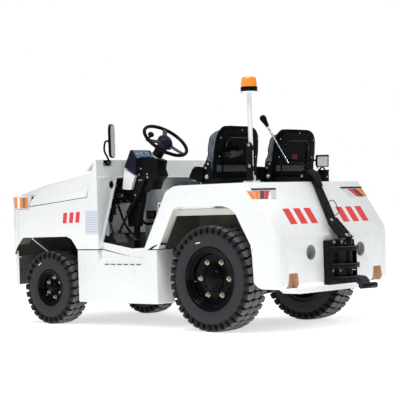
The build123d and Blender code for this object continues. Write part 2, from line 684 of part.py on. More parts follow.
# name, side, shift back, top
seat_rows = (("driver", 1, 0, seat_back_top_z), ("passenger", -1, -16, seat_back_top_z - 11))
for name, side, shift_x, top_z in seat_rows:
    save("seat_cushion_" + name, Pos(shift_x / 4, 0, 0) * seat_cushion(side * seat_y))
    save("seat_back_" + name, seat_back(side * seat_y, shift_x, top_z))

# ---- steering --------------------------------------------------------------
tilt = radians(steer_tilt)
up = Vector(-sin(tilt), 0, cos(tilt))
hub = Vector(steer_hub_x, seat_y, steer_hub_z)
wheel_plane = Plane(origin=hub, x_dir=(cos(tilt), 0, sin(tilt)), z_dir=up)
boss_depth = 44


def steering_wheel():
    """Grip ring, dished spokes of unequal spacing, hub and a spinner knob on its post."""
    ring = [(wheel_rim_radius + wheel_grip_radius * cos(radians(a)), 0, wheel_grip_radius * sin(radians(a)))
            for a in range(0, 360, 45)]
    wheel = revolve(make_face(Polyline(*ring, close=True)), Axis.Z, 360)
    wheel = wheel + Pos(0, 0, -boss_depth / 2 - 2) * Cylinder(42, boss_depth)
    for angle in (90, -38, -160):
        spoke = plan_prism([(30, -24), (wheel_rim_radius, -15), (wheel_rim_radius, 15), (30, 24)], -10, -1)
        wheel = wheel + Rot(0, 0, angle) * spoke
    knob = [(0, 0, 0), (9, 0, 0), (9, 0, 26), (22, 0, 36), (24, 0, 48), (16, 0, 62), (0, 0, 66)]
    knob = revolve(make_face(Polyline(*knob, close=True)), Axis.Z, 360)
    wheel = wheel + Rot(0, 0, 86) * Pos(wheel_rim_radius, 0, 0) * knob
    return wheel_plane * wheel


save("steering_wheel", steering_wheel())

# side view of the instrument box: rear foot of the face, its top, front, and under edge
dash_side = [(215, 1289), (270, 1364, 6), (343, 1231), (226, 1171)]
dash_y0, dash_y1 = seat_y - 115, seat_y + 100
bracket_y0, bracket_y1 = seat_y - 45, seat_y + 60


def along_column(distance):
    return tuple(hub - up * distance)


def steering_column():
    """Shaft and shroud on a folded bracket that stands on the floor and ties back to the cowl."""
    column = rod(along_column(boss_depth + 2.5), along_column(170), 22)
    column = column + rod(along_column(60), along_column(140), 37)
    foot_z = [floor_line(x) + mat_top + seating_gap for x in (255, 340)]
    side = [(18, 1268, 10), (32, 1206, 6), (12, 1151, 8), (63, 1110, 10), (93, 1048, 12), (197, 1047, 10),
            (248, 1017, 10), (255, 974), (255, foot_z[0]), (340, foot_z[1]), (340, 1215), (215, 1300), (110, 1300)]
    bracket = side_prism(side, bracket_y0, bracket_y1)
    pocket = [(60, 1250), (75, 1140, 10), (100, 1060, 10), (205, 1059), (258, 1030), (267, 960), (267, foot_z[0] - 20),
              (360, foot_z[1] - 20), (360, 1180), (215, 1265)]
    bracket = bracket - side_prism(pocket, bracket_y0 + 6, bracket_y1 - 6)
    column = column + bracket
    column = column + block(330, cowl_x - 0.2, bracket_y0, bracket_y1, toe_top_z + 10, toe_top_z + 30)
    column = column + block(cowl_x - 6, cowl_x - 0.2, bracket_y0, bracket_y1, toe_top_z + 5, toe_top_z + 70)
    grown = [(213, 1289), (270, 1368), (346, 1231), (226, 1168)]
    return column - side_prism(grown, dash_y0 - 1, dash_y1 + 1)


def instrument_box():
    """Shallow box with its face toward the driver, on a stay from the cowl."""
    box = side_prism(dash_side, dash_y0, dash_y1)
    stay = side_prism([(330, 1226), (cowl_x - 0.2, 1262), (cowl_x - 0.2, 1200), (338, 1226)], dash_y1 - 30, dash_y1 - 20)
    # recess that the dial plate sits in
    face_dir = Vector(270 - 215, 0, 1364 - 1289).normalized()
    normal = Vector(-face_dir.Z, 0, face_dir.X)
    middle = Vector((215 + 270) / 2, (dash_y0 + dash_y1) / 2, (1289 + 1364) / 2)
    plate = Plane(origin=middle, x_dir=face_dir, z_dir=normal) * Box(72, dash_y1 - dash_y0 - 20, 6)
    return box + stay - plate


save("steering_column", steering_column())
save("instrument_box", instrument_box())
cover_side = [(356, 1222, 6), (241, 1162, 6), (293, 1051, 10), (384, 1058, 10)]
save("column_cover", side_prism(cover_side, bracket_y1 + seating_gap, bracket_y1 + 30))

# pedals: a brake pad and a flat accelerator with their arms
pedal_z = 640
pedals = block(toe_x - 34, toe_x - 22.2, 200, 470, 880, 960)
# middle, width of the pad
for y, wide in ((seat_y + 105, 70), (seat_y - 95, 60)):
    pad = side_prism([(250, pedal_z), (340, pedal_z + 60), (336, pedal_z + 68), (246, pedal_z + 8)],
                     y - wide / 2, y + wide / 2)
    arm = side_prism([(330, pedal_z + 50), (360, pedal_z + 60, 60), (toe_x - 28, 900), (toe_x - 28, 940),
                      (340, pedal_z + 78, 60)], y - 8, y + 8)
    pedals = pedals + pad + arm
save("pedal_set", pedals)

# ---- mirror ----------------------------------------------------------------
mirror_y = half_width - 90


def mirror_head():
    head = Pos(cowl_x - 83, mirror_y, 1430) * Rot(0, 0, 30) * Box(26, 130, 260)
    return fillet(head.edges().filter_by(Axis.Z), 10)


def mirror_arm():
    x = cowl_x - 7.5
    plate = front_prism([(mirror_y - 65, 1242, 10), (mirror_y + 13, 1242, 10), (mirror_y + 13, cowl_top_z - 2),
                         (mirror_y - 65, cowl_top_z - 2)], cowl_x - 8, cowl_x - 0.2)
    arm = plate + rod((x - 3, mirror_y - 40, 1270), (x, mirror_y + 5, 1362), 7)
    arm = arm + rod((x, mirror_y + 5, 1358), (x, mirror_y - 10, 1440), 7)
    arm = arm + rod((x, mirror_y - 10, 1430), (x - 75, mirror_y + 2, 1430), 8)
    return arm - mirror_head()


save("mirror_head", mirror_head())
save("mirror_arm", mirror_arm())

# ---- beacon ----------------------------------------------------------------
z = beacon_plate_z
pole = rod((pole_x, pole_y, deck_z + 20), (pole_x, pole_y, z - 4), pole_radius)
pole = pole + plan_prism([(pole_x - 55, pole_y - 35, 12), (pole_x + 55, pole_y - 35, 12),
                          (pole_x + 55, pole_y + 35, 12), (pole_x - 55, pole_y + 35, 12)],
                         deck_z + seating_gap, deck_z + 20)
save("beacon_pole", pole + rod((pole_x, pole_y, z - 8), (pole_x, pole_y, z), 73))
save("beacon_base", rod((pole_x, pole_y, z), (pole_x, pole_y, z + 35), 62))
lens = Pos(pole_x, pole_y, z + 35 + 36) * Cone(58, 52, 72)
save("beacon_lens", fillet(lens.edges().group_by(Axis.Z)[-1], 10))

# belt bracket: a plate clamped to the pole
belt = block(pole_x + 22, pole_x + 30, pole_y - 42, pole_y + 42, 1138, 1360)
for z0, z1 in ((1300, 1360), (1150, 1190)):
    belt = belt + block(pole_x - 30, pole_x + 24, pole_y - 30, pole_y + 30, z0, z1)
save("belt_bracket", belt - Pos(pole_x, pole_y, 1250) * Cylinder(pole_radius + running_clearance, 400))

# ---- work lamp -------------------------------------------------------------
lamp_x, lamp_y = -1015, -306
lamp = Pos(lamp_x, lamp_y, 1218) * Rot(0, 8, 0) * Box(50, 90, 92)
lamp = lamp + rod((lamp_x - 5, lamp_y + 10, 1140), (lamp_x - 5, lamp_y + 10, 1190), 12)
lamp = lamp + block(lamp_x - 45, lamp_x + 15, lamp_y - 15, lamp_y + 45, deck_z + seating_gap, 1151)
save("work_lamp", lamp)

# ---- hitch -----------------------------------------------------------------
pin_x = hitch_face_x - 62
hitch_low_z, hitch_top_z = 322, 638
# Z of the underside of each half-round jaw
jaw_z = (346, 438, 560)


def hitch_block():
    w = hitch_half_width
    hitch = front_prism([(-w, hitch_low_z), (w, hitch_low_z), (w, hitch_top_z, 15), (-w, hitch_top_z, 15)],
                        hitch_face_x, crease_x - 0.2)
    for z0 in jaw_z:
        jaw = Pos(hitch_face_x + 2, 0, z0) * extrude(Ellipse(jaw_reach, w), amount=jaw_thickness)
        hitch = hitch + (jaw & block(hitch_face_x - 2 * w, hitch_face_x + 2, -w, w, z0, z0 + jaw_thickness))
    x = hitch_face_x
    tongue = [(x + 5, jaw_z[0]), (x - 60, jaw_z[0], 20), (x - jaw_reach, jaw_z[0] - 36), (x - jaw_reach, jaw_z[0] - 48),
              (x - 60, jaw_z[0] - 16, 20), (x + 5, jaw_z[0] - 16)]
    hitch = hitch + side_prism(tongue, -145, -70)
    bar_x = x - jaw_reach + 2
    hitch = hitch + rod((bar_x, -70, jaw_z[0] - 42), (bar_x, -250, jaw_z[0] - 46), 22)
    return hitch - Pos(pin_x, 0, 500) * Cylinder(pin_radius + running_clearance, 400)


save("hitch_block", hitch_block())
pin = [(0, 0, 340), (pin_radius - 6, 0, 340), (pin_radius, 0, 352), (pin_radius, 0, 640), (30, 0, 640), (30, 0, 660),
       (0, 0, 660)]
save("hitch_pin", Pos(pin_x, 0, 0) * revolve(make_face(Polyline(*pin, close=True)), Axis.Z, 360))

# ---- release lever ---------------------------------------------------------
slope_length = hypot(crease_x - deck_rear_x, crease_z - deck_z)
slope_out = Vector((crease_z - deck_z) / slope_length, 0, -(crease_x - deck_rear_x) / slope_length)
arm_off = 50
lever_y = -52


def off_slope(x, y, z):
    """A point of the sloping tail face, lifted by the arms' distance from it."""
    return Vector(x, y, z) + slope_out * arm_off


def flat_bar(a, b, wide, thick, over):
    direction = (b - a).normalized()
    plane = Plane(origin=(a + b) * 0.5, x_dir=direction, z_dir=slope_out)
    return plane * extrude(SlotOverall((b - a).length + over, wide), amount=thick / 2, both=True)


def release_lever():
    knee = off_slope(-1262, -24, 790)
    lever = flat_bar(off_slope(-1050, -120, 1103), knee, 54, 14, 54)
    lower_start = knee + slope_out * 12
    lever = lever + flat_bar(lower_start, off_slope(-1350, -66, 660) + slope_out * 12, 62, 14, 62)
    hump = side_prism([(-960, deck_z + seating_gap), (-962, 1140, 14), (-1000, 1154, 30), (-1048, 1152, 30),
                       (-1100, 1110, 20), (-1100, deck_z + seating_gap)], -165, -85)
    lever = lever + hump
    grip_end, grip_tip = Vector(-697, lever_y, 1483), Vector(-658, lever_y, 1536)
    bend, elbow = Vector(-883, lever_y, 1214), Vector(-1020, lever_y, 1200)
    lever = lever + rod(tuple(elbow), (-1045, -98, 1140), 7) + Pos(*elbow) * Cylinder(7, 14)
    lever = lever + rod(tuple(bend), tuple(elbow), 6) + Pos(*bend) * Cylinder(6, 12)
    return lever + rod(tuple(bend), tuple(grip_end), 6) + rod(tuple(grip_end), tuple(grip_tip), 20)


save("release_lever", release_lever())
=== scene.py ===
import bpy
import bmesh
from math import atan2, cos, pi, radians, sin, sqrt
from mathutils import Euler, Matrix, Vector


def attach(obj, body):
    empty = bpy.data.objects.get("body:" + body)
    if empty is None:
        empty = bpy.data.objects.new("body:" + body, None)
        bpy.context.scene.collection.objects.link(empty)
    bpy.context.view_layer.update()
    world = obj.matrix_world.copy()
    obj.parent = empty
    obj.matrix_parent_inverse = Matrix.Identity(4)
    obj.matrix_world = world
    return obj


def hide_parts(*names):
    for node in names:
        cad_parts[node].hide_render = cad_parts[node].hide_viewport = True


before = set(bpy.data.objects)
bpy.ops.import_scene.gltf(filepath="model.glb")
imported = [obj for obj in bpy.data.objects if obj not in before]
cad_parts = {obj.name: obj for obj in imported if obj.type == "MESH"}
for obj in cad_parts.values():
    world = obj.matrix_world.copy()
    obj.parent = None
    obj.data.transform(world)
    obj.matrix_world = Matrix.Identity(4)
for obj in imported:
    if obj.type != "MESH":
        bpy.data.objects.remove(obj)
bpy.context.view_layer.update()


# ---- values in a material: sums and products of them add Math nodes
class Shade:
    def __init__(self, finish, socket):
        self.finish, self.socket = finish, socket

    def math(self, operation, *others, flip=False):
        terms = [self, *others]
        if flip:
            terms.reverse()
        return self.finish.node("ShaderNodeMath", {"operation": operation}, dict(enumerate(terms)))

    def __add__(self, other):
        return self.math("ADD", other)

    def __sub__(self, other):
        return self.math("SUBTRACT", other)

    def __rsub__(self, other):
        return self.math("SUBTRACT", other, flip=True)

    def __mul__(self, other):
        return self.math("MULTIPLY", other)

    def held(self, low, high):
        # 0 at low, 1 at high, straight between
        return self.finish.node("ShaderNodeMapRange", {"clamp": True}, {0: self, 1: low, 2: high})

    __radd__ = __add__
    __rmul__ = __mul__


class Finish:
    # one material: a Principled surface and short ways to add nodes to it
    def __init__(self, name, color, roughness, **sockets):
        self.material = bpy.data.materials.new(name)
        self.material.use_nodes = True
        self.tree = self.material.node_tree
        self.surface = self.tree.nodes["Principled BSDF"]
        self.color = (*color, 1)
        self.put("Base Color", self.color)
        self.put("Roughness", roughness)
        for socket, value in sockets.items():
            self.put(socket.replace("_", " "), value)
        self.material.diffuse_color = self.color

    def put(self, socket, value):
        self.feed(self.surface.inputs[socket], value)

    def feed(self, socket, value):
        if isinstance(value, Shade):
            self.tree.links.new(value.socket, socket)
        else:
            socket.default_value = value

    def node(self, kind, settings=None, sockets=None, output=0):
        made = self.tree.nodes.new(kind)
        for key, value in (settings or {}).items():
            setattr(made, key, value)
        for key, value in (sockets or {}).items():
            self.feed(made.inputs[key], value)
        return Shade(self, made.outputs[output])

    def place(self):
        return self.node("ShaderNodeTexCoord", output="Object")

    def grain(self, scale, detail=3.0, rough=0.5):
        sockets = {"Vector": self.place(), "Scale": scale, "Detail": detail, "Roughness": rough}
        return self.node("ShaderNodeTexNoise", {}, sockets)

    def cells(self, scale):
        return self.node("ShaderNodeTexVoronoi", {}, {"Vector": self.place(), "Scale": scale})

    def axis(self, letter):
        return self.node("ShaderNodeSeparateXYZ", {}, {0: self.place()}, output=letter)

    def blend(self, factor, low, high):
        low, high = (value if isinstance(value, Shade) else (*value, 1) for value in (low, high))
        return self.node("ShaderNodeMix", {"data_type": "RGBA"}, {0: factor, 6: low, 7: high}, output=2)

    def relief(self, height, strength, distance=0.001):
        sockets = {"Strength": strength, "Distance": distance, "Height": height}
        self.put("Normal", self.node("ShaderNodeBump", {}, sockets))


# ---- finishes
paintLook = {"white": (0.80, 0.812, 0.812), "dust": (0.55, 0.53, 0.48), "inner": (0.72, 0.78, 0.80)}


def whitePaint():
    made = Finish("whitePaint", paintLook["white"], 0.3, Coat_Weight=0.35, Coat_Roughness=0.12)
    low = 1 - made.axis("Z").held(0.12, 0.62)
    dirt = made.grain(5, 5, rough=0.6).held(0.5, 0.85) * (low * 0.05 + 0.002)
    faded = made.blend(made.grain(1.6, 2).held(0.3, 0.7), paintLook["white"], (0.79, 0.804, 0.806))
    made.put("Base Color", made.blend(dirt, faded, paintLook["dust"]))
    made.put("Roughness", made.grain(11, 4) * 0.06 + dirt * 0.5 + 0.25)
    made.relief(made.grain(220, 2), 0.02, 0.0006)
    return made


def innerPaint():
    # paler undercoat inside the arches and foot wells
    made = Finish("innerPaint", paintLook["inner"], 0.55)
    worn = made.grain(6, 7, rough=0.7).held(0.42, 0.75)
    made.put("Base Color", made.blend(worn * 0.3, paintLook["inner"], (0.56, 0.60, 0.60)))
    made.put("Roughness", worn * 0.25 + 0.45)
    made.relief(made.grain(120, 4), 0.12, 0.001)
    return made


def archPaint():
    # grey undercoat made very dark as painted shade, for wheel houses and for faces turned to the rear or
    # down
    made = Finish("archPaint", (0.2, 0.2, 0.17), 0.6, Specular_IOR_Level=0.25)
    worn = made.grain(5, 8, rough=0.7).held(0.4, 0.75)
    made.put("Base Color", made.blend(worn * 0.7, (0.105, 0.106, 0.090), (0.05, 0.049, 0.04)))
    made.relief(made.grain(90, 5), 0.25, 0.0015)
    return made


def blackPaint(name="blackPaint", color=(0.0055, 0.006, 0.0068), roughness=0.30, shine=0.07):
    made = Finish(name, color, roughness, Specular_IOR_Level=shine)
    scuff = made.grain(26, 8, rough=0.75).held(0.52, 0.78)
    made.put("Base Color", made.blend(scuff * 0.14, color, (0.07, 0.067, 0.06)))
    made.put("Roughness", scuff * 0.25 + roughness - 0.05)
    made.relief(made.grain(170, 3), 0.10, 0.0008)
    return made


def castMetal():
    made = Finish("castMetal", (0.012, 0.012, 0.013), 0.42, Specular_IOR_Level=0.12)
    worn = made.grain(8, 5).held(0.45, 0.8)
    made.put("Base Color", made.blend(worn, (0.007, 0.0072, 0.008), (0.030, 0.028, 0.024)))
    made.relief(made.grain(80, 7, rough=0.7), 0.5, 0.0015)
    return made


def brightMetal(name, color, roughness, rust=0.0):
    made = Finish(name, color, roughness, Metallic=1.0)
    spots = made.grain(60, 6, rough=0.7).held(0.55, 0.85)
    made.put("Base Color", made.blend(spots * rust, color, (0.22, 0.13, 0.07)))
    made.put("Roughness", made.grain(130, 3) * 0.2 + roughness - 0.06)
    made.relief(made.grain(300, 2), 0.05, 0.0005)
    return made


def tyreRubber():
    made = Finish("tyreRubber", (0.02, 0.022, 0.024), 0.6, Specular_IOR_Level=0.12)
    dust = made.grain(14, 8, rough=0.7).held(0.38, 0.8)
    made.put("Base Color", made.blend(dust * 0.5, (0.0085, 0.0098, 0.011), (0.044, 0.043, 0.040)))
    made.put("Roughness", dust * 0.25 + 0.5)
    made.relief(made.grain(220, 5) + made.grain(32, 3) * 0.6, 0.22, 0.0012)
    return made


def treadRubber():
    # the worn, dusty faces that touch the ground
    made = Finish("treadRubber", (0.055, 0.053, 0.05), 0.75, Specular_IOR_Level=0.2)
    worn = made.grain(22, 8, rough=0.7).held(0.35, 0.75)
    made.put("Base Color", made.blend(worn, (0.024, 0.0235, 0.022), (0.088, 0.082, 0.071)))
    made.relief(made.grain(180, 6), 0.35, 0.0015)
    return made


def rubberMat():
    made = Finish("rubberMat", (0.03, 0.03, 0.03), 0.7, Specular_IOR_Level=0.25)
    dust = made.grain(18, 7, rough=0.7).held(0.45, 0.85)
    made.put("Base Color", made.blend(dust * 0.8, (0.028, 0.029, 0.031), (0.19, 0.18, 0.165)))
    made.relief(made.grain(260, 4), 0.2, 0.001)
    return made


def plastic(name, color, roughness, pebble=420.0, depth=0.10, shine=0.12):
    made = Finish(name, color, roughness, Specular_IOR_Level=shine)
    made.put("Roughness", made.grain(20, 4) * 0.14 + roughness - 0.07)
    made.relief(made.cells(pebble) * 0.7 + made.grain(pebble * 0.6, 2), depth, 0.0006)
    return made


def seatVinyl(name, color, pale):
    # pebbled coated cloth with a soft sheen along the raised channels; noise mixes in the paler colour as
    # painted sheen
    made = Finish(name, color, 0.5, Sheen_Weight=0.1, Sheen_Roughness=0.4, Specular_IOR_Level=0.3)
    sheenMottle = made.grain(17, 5, rough=0.6).held(0.4, 0.8)
    made.put("Base Color", made.blend(sheenMottle * 0.5, color, pale))
    made.put("Roughness", sheenMottle * 0.2 + 0.4)
    made.relief(made.cells(700) * 0.8 + made.grain(90, 4), 0.28, 0.0009)
    return made


def lens(name, color, glow, glowing=0.03):
    # moulded plastic lens: lit a little from inside by its own reflector
    made = Finish(name, color, 0.12, Coat_Weight=0.4, Coat_Roughness=0.05, Emission_Strength=glowing)
    bands = made.cells(260)
    made.put("Base Color", made.blend(bands.held(0.1, 0.75), color, glow))
    made.put("Emission Color", made.blend(bands.held(0.2, 0.8), color, glow))
    made.relief(bands, 0.35, 0.0012)
    return made


def silvered():
    made = Finish("silvered", (0.86, 0.88, 0.9), 0.03, Metallic=1.0)
    made.put("Roughness", made.grain(30, 5).held(0.5, 0.9) * 0.12 + 0.02)
    made.relief(made.grain(6, 2), 0.02, 0.001)
    return made


def webbing():
    made = Finish("webbing", (0.02, 0.021, 0.024), 0.75)
    weave = made.node("ShaderNodeTexWave", {}, {"Vector": made.place(), "Scale": 420.0, "Distortion": 0.4})
    made.put("Base Color", made.blend(weave, (0.014, 0.015, 0.017), (0.050, 0.052, 0.056)))
    made.relief(weave, 0.4, 0.0006)
    return made


finishes = {
    "white": whitePaint(), "inner": innerPaint(), "arch": archPaint(),
    "black": blackPaint(), "gloss": blackPaint("glossBlack", (0.0016, 0.0019, 0.0024), 0.12, 0.07),
    "cast": castMetal(), "tyre": tyreRubber(), "tread": treadRubber(), "mat": rubberMat(),
    "shell": plastic("seatShell", (0.0014, 0.0024, 0.003), 0.24, 520, 0.06, 0.03),
    "plastic": plastic("blackPlastic", (0.003, 0.0036, 0.0046), 0.30, 600, 0.08, 0.05),
    "greyPlastic": plastic("greyPlastic", (0.055, 0.058, 0.062), 0.5, 480, 0.15),
    "dashPlastic": plastic("dashPlastic", (0.010, 0.0105, 0.022), 0.32, 500, 0.1),
    "bolster": seatVinyl("bolsterVinyl", (0.055, 0.070, 0.092), (0.30, 0.35, 0.42)),
    "vinyl": seatVinyl("seatVinyl", (0.010, 0.012, 0.018), (0.035, 0.042, 0.056)),
    "web": webbing(), "steel": brightMetal("brightSteel", (0.62, 0.62, 0.60), 0.28, 0.25),
    "zinc": brightMetal("yellowZinc", (0.50, 0.46, 0.34), 0.32, 0.35),
    "chrome": brightMetal("chrome", (0.78, 0.79, 0.80), 0.12, 0.05),
    "copper": brightMetal("copperBolt", (0.62, 0.33, 0.20), 0.35, 0.2),
    "mirror": silvered(), "amber": lens("amberLens", (0.62, 0.11, 0.012), (0.85, 0.30, 0.07)),
    "beacon": lens("beaconLens", (0.72, 0.14, 0.006), (0.95, 0.30, 0.02), 0.1),
    "red": lens("redLens", (0.42, 0.02, 0.015), (0.62, 0.05, 0.035)),
    "crimson": lens("crimsonLens", (0.09, 0.004, 0.005), (0.20, 0.010, 0.012)),
    "clear": lens("clearLens", (0.42, 0.43, 0.43), (0.72, 0.73, 0.73)),
    "smoke": lens("smokeLens", (0.10, 0.085, 0.08), (0.22, 0.17, 0.15)),
    "dial": plastic("dialFace", (0.13, 0.20, 0.31), 0.2, 300, 0.02),
    "ink": plastic("dialInk", (0.9, 0.9, 0.88), 0.4, 300, 0.02),
    "redPaint": plastic("redPaint", (0.72, 0.062, 0.065), 0.35, 300, 0.04),
    "patch": plastic("redPatch", (0.13, 0.011, 0.012), 0.5, 300, 0.04),
    "hook": plastic("wornHook", (0.030, 0.033, 0.040), 0.4, 200, 0.2),
    "beige": plastic("beigePrimer", (0.64, 0.62, 0.55), 0.6, 200, 0.1),
    # grey for the tail's recesses: painted shade
    "shade": plastic("recessPaint", (0.25, 0.26, 0.25), 0.6, 200, 0.1),
    "hose": plastic("hoseRubber", (0.014, 0.014, 0.015), 0.55, 300, 0.15),
    "tan": plastic("tanPaint", (0.50, 0.30, 0.20), 0.6, 200, 0.2),
    "blush": lens("blushLens", (0.80, 0.62, 0.60), (0.95, 0.86, 0.85)),
    "greyPlate": plastic("platePaint", (0.62, 0.66, 0.72), 0.4, 200, 0.02),
    "plateLine": plastic("plateLine", (0.42, 0.47, 0.55), 0.4, 200, 0.02)}
finishes = {name: made.material for name, made in finishes.items()}
print("finishes", len(finishes))


# ---- mesh helpers
def newObject(name, data):
    made = bpy.data.objects.new(name, data)
    bpy.context.scene.collection.objects.link(made)
    return made


def crisp(piece, smooth):
    # smooth shading; edges sharper than smooth degrees stay crisp
    piece.data.shade_smooth()
    piece.data.set_sharp_from_angle(angle=radians(smooth))
    return piece


def addPiece(name, bm, finish, smooth=40):
    # a new object from a bmesh
    mesh = bpy.data.meshes.new(name)
    bm.normal_update()
    bm.to_mesh(mesh)
    bm.free()
    piece = newObject(name, mesh)
    mesh.materials.append(finishes[finish])
    return crisp(piece, smooth) if smooth else piece


def settle(piece):
    # modifiers worked into a plain mesh, outward normals kept
    graph = bpy.context.evaluated_depsgraph_get()
    mesh = bpy.data.meshes.new_from_object(piece.evaluated_get(graph), depsgraph=graph)
    piece.modifiers.clear()
    if piece.type == "MESH":
        old = piece.data
        piece.data = mesh
        bpy.data.meshes.remove(old)
        return piece
    name = piece.name
    materials = [slot.material for slot in piece.material_slots]
    bpy.data.objects.remove(piece)
    made = newObject(name, mesh)
    if not mesh.materials:
        for material in materials:
            mesh.materials.append(material)
    return made


def fit(piece, slotName, *nodes, body="chassis"):
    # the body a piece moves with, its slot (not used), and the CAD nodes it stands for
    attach(piece, body)
    if nodes:
        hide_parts(*nodes)
    return piece


def merge(name, pieces):
    # several meshes become one object; each keeps its own finish
    bm = bmesh.new()
    materials = []
    for piece in pieces:
        start = len(bm.faces)
        bm.from_mesh(piece.data)
        bm.faces.ensure_lookup_table()
        table = []
        for material in piece.data.materials:
            if material not in materials:
                materials.append(material)
            table.append(materials.index(material))
        for face in bm.faces[start:]:
            face.material_index = table[min(face.material_index, len(table) - 1)]
    mesh = bpy.data.meshes.new(name)
    bm.to_mesh(mesh)
    bm.free()
    for material in materials:
        mesh.materials.append(material)
    for piece in pieces:
        old = piece.data
        bpy.data.objects.remove(piece)
        if not old.users:
            bpy.data.meshes.remove(old)
    return newObject(name, mesh)


def moved(piece, matrix):
    piece.data.transform(matrix)
    if matrix.determinant() < 0:
        piece.data.flip_normals()
    return piece


def twin(piece, name):
    # the same piece on the other side of the middle
    return moved(newObject(name, piece.data.copy()), Matrix.Scale(-1, 4, (0, 1, 0)))


def rounded(piece, width, segments=2, angle=32):
    bevel = piece.modifiers.new("edge", "BEVEL")
    bevel.width, bevel.segments = width, segments
    bevel.limit_method, bevel.angle_limit = "ANGLE", radians(angle)
    bevel.use_clamp_overlap, bevel.harden_normals = True, False
    return settle(piece)


def softened(node, name, finish, width=0.003, segments=2, smooth=40):
    # a copy of a CAD node with its facets merged and its edges rounded
    bm = bmesh.new()
    bm.from_mesh(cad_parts[node].data)
    bmesh.ops.remove_doubles(bm, verts=bm.verts, dist=0.00002)
    bmesh.ops.dissolve_limit(bm, angle_limit=radians(0.6), verts=bm.verts, edges=bm.edges)
    bmesh.ops.recalc_face_normals(bm, faces=bm.faces)
    piece = addPiece(name, bm, finish, 0)
    return crisp(rounded(piece, width, segments), smooth)


def repaint(piece, finish, test):
    # faces whose middle and normal pass the test take another finish
    piece.data.materials.append(finishes[finish])
    last = len(piece.data.materials) - 1
    for face in piece.data.polygons:
        if test(face.center, face.normal):
            face.material_index = last
    return piece


def trimmed(piece, place, way):
    # the half on the way side of a plane is cut off and the cut closed
    bm = bmesh.new()
    bm.from_mesh(piece.data)
    everything = bm.verts[:] + bm.edges[:] + bm.faces[:]
    cut = bmesh.ops.bisect_plane(bm, geom=everything, plane_co=place, plane_no=way, clear_outer=True)
    rim = [item for item in cut["geom_cut"] if isinstance(item, bmesh.types.BMEdge)]
    bmesh.ops.holes_fill(bm, edges=rim, sides=0)
    bm.to_mesh(piece.data)
    bm.free()
    return piece


def brick(name, low, high, finish, edge=0.002, segments=2, turn=None):
    # rounded box between two corners, turned about its own middle
    low, high = Vector(low), Vector(high)
    bm = bmesh.new()
    bmesh.ops.create_cube(bm, size=1)
    size = high - low
    bmesh.ops.transform(bm, matrix=Matrix.Diagonal((*size, 1)), verts=bm.verts)
    if edge:
        offset = min(edge, min(size) * 0.45)
        bmesh.ops.bevel(bm, geom=bm.edges, offset=offset, segments=segments, profile=0.5, affect="EDGES",
                        clamp_overlap=True)
    place = Matrix.Translation((low + high) / 2)
    if turn:
        place = place @ Euler([radians(a) for a in turn]).to_matrix().to_4x4()
    bmesh.ops.transform(bm, matrix=place, verts=bm.verts)
    return addPiece(name, bm, finish)


def fullTurn(count, start=0.0):
    # even angles round a circle
    return [2 * pi * (i + start) / count for i in range(count)]


def signed(value, power):
    # a power that keeps the sign; below 1 it squares off a circle
    return abs(value) ** power * (1 if value > 0 else -1)


def solidBlock(bm, top, bottom):
    # two matching outlines, closed all round
    a, b = [bm.verts.new(p) for p in top], [bm.verts.new(p) for p in bottom]
    bm.faces.new(a)
    bm.faces.new(list(reversed(b)))
    for i in range(len(a)):
        j = (i + 1) % len(a)
        bm.faces.new((a[j], a[i], b[i], b[j]))


def skin(name, sections, finish, smooth):
    # quads between rings of points, and a face over each end
    bm = bmesh.new()
    rings = [[bm.verts.new(point) for point in section] for section in sections]
    for a, b in zip(rings, rings[1:]):
        for i in range(len(a)):
            j = (i + 1) % len(a)
            bm.faces.new((a[i], a[j], b[j], b[i]))
    bm.faces.new(rings[0])
    bm.faces.new(rings[-1])
    bmesh.ops.recalc_face_normals(bm, faces=bm.faces)
    return addPiece(name, bm, finish, smooth)


def lathe(name, profile, finish, axis=Matrix(), steps=48, smooth=35):
    # (radius, height) profile turned about Z, then placed by the axis matrix
    bm = bmesh.new()
    rings = []
    for radius, height in profile:
        if radius < 1e-6:
            rings.append([bm.verts.new((0, 0, height))])
        else:
            rings.append([bm.verts.new((radius * cos(a), radius * sin(a), height))
                for a in fullTurn(steps)])
    for a, b in zip(rings, rings[1:]):
        if len(a) == 1 and len(b) == 1:
            continue
        for i in range(steps):
            j = (i + 1) % steps
            corners = [a[i % len(a)], a[j % len(a)], b[j % len(b)], b[i % len(b)]]
            bm.faces.new(list(dict.fromkeys(corners)))
    bmesh.ops.remove_doubles(bm, verts=bm.verts, dist=1e-7)
    for loop in (rings[0], rings[-1]):
        if len(loop) > 1 and rings[0] is not rings[-1] and loop[0].is_valid and loop[0].is_boundary:
            bm.faces.new(loop)
    bmesh.ops.recalc_face_normals(bm, faces=bm.faces)
    bmesh.ops.transform(bm, matrix=axis, verts=bm.verts)
    return addPiece(name, bm, finish, smooth)


def prism(name, corners, depth, finish, place, edge=0.0015, segments=2):
    # flat outline carried along by depth; place(a, b, c) gives a point
    bm = bmesh.new()
    solidBlock(bm, [place(a, b, 0) for a, b in corners], [place(a, b, depth) for a, b in corners])
    bmesh.ops.recalc_face_normals(bm, faces=bm.faces)
    piece = addPiece(name, bm, finish)
    return rounded(piece, edge, segments) if edge else piece


def upright(y):
    # place for a prism: its outline is (x, z), and it grows along Y from y
    return lambda a, b, c: (a, y + c, b)


def tube(name, points, radius, finish, sides=12, closed=False):
    # round bar along a smooth line through its control points
    curve = bpy.data.curves.new(name, "CURVE")
    curve.dimensions = "3D"
    curve.bevel_depth, curve.bevel_resolution = radius, max(1, sides // 4 - 1)
    curve.use_fill_caps = True
    curve.resolution_u = 10
    spline = curve.splines.new("NURBS")
    spline.points.add(len(points) - 1)
    for spot, point in zip(spline.points, points):
        spot.co = (*point, 1)
    spline.use_cyclic_u = closed
    spline.order_u = 3
    spline.use_endpoint_u = not closed
    curve.materials.append(finishes[finish])
    return crisp(settle(newObject(name, curve)), 50)


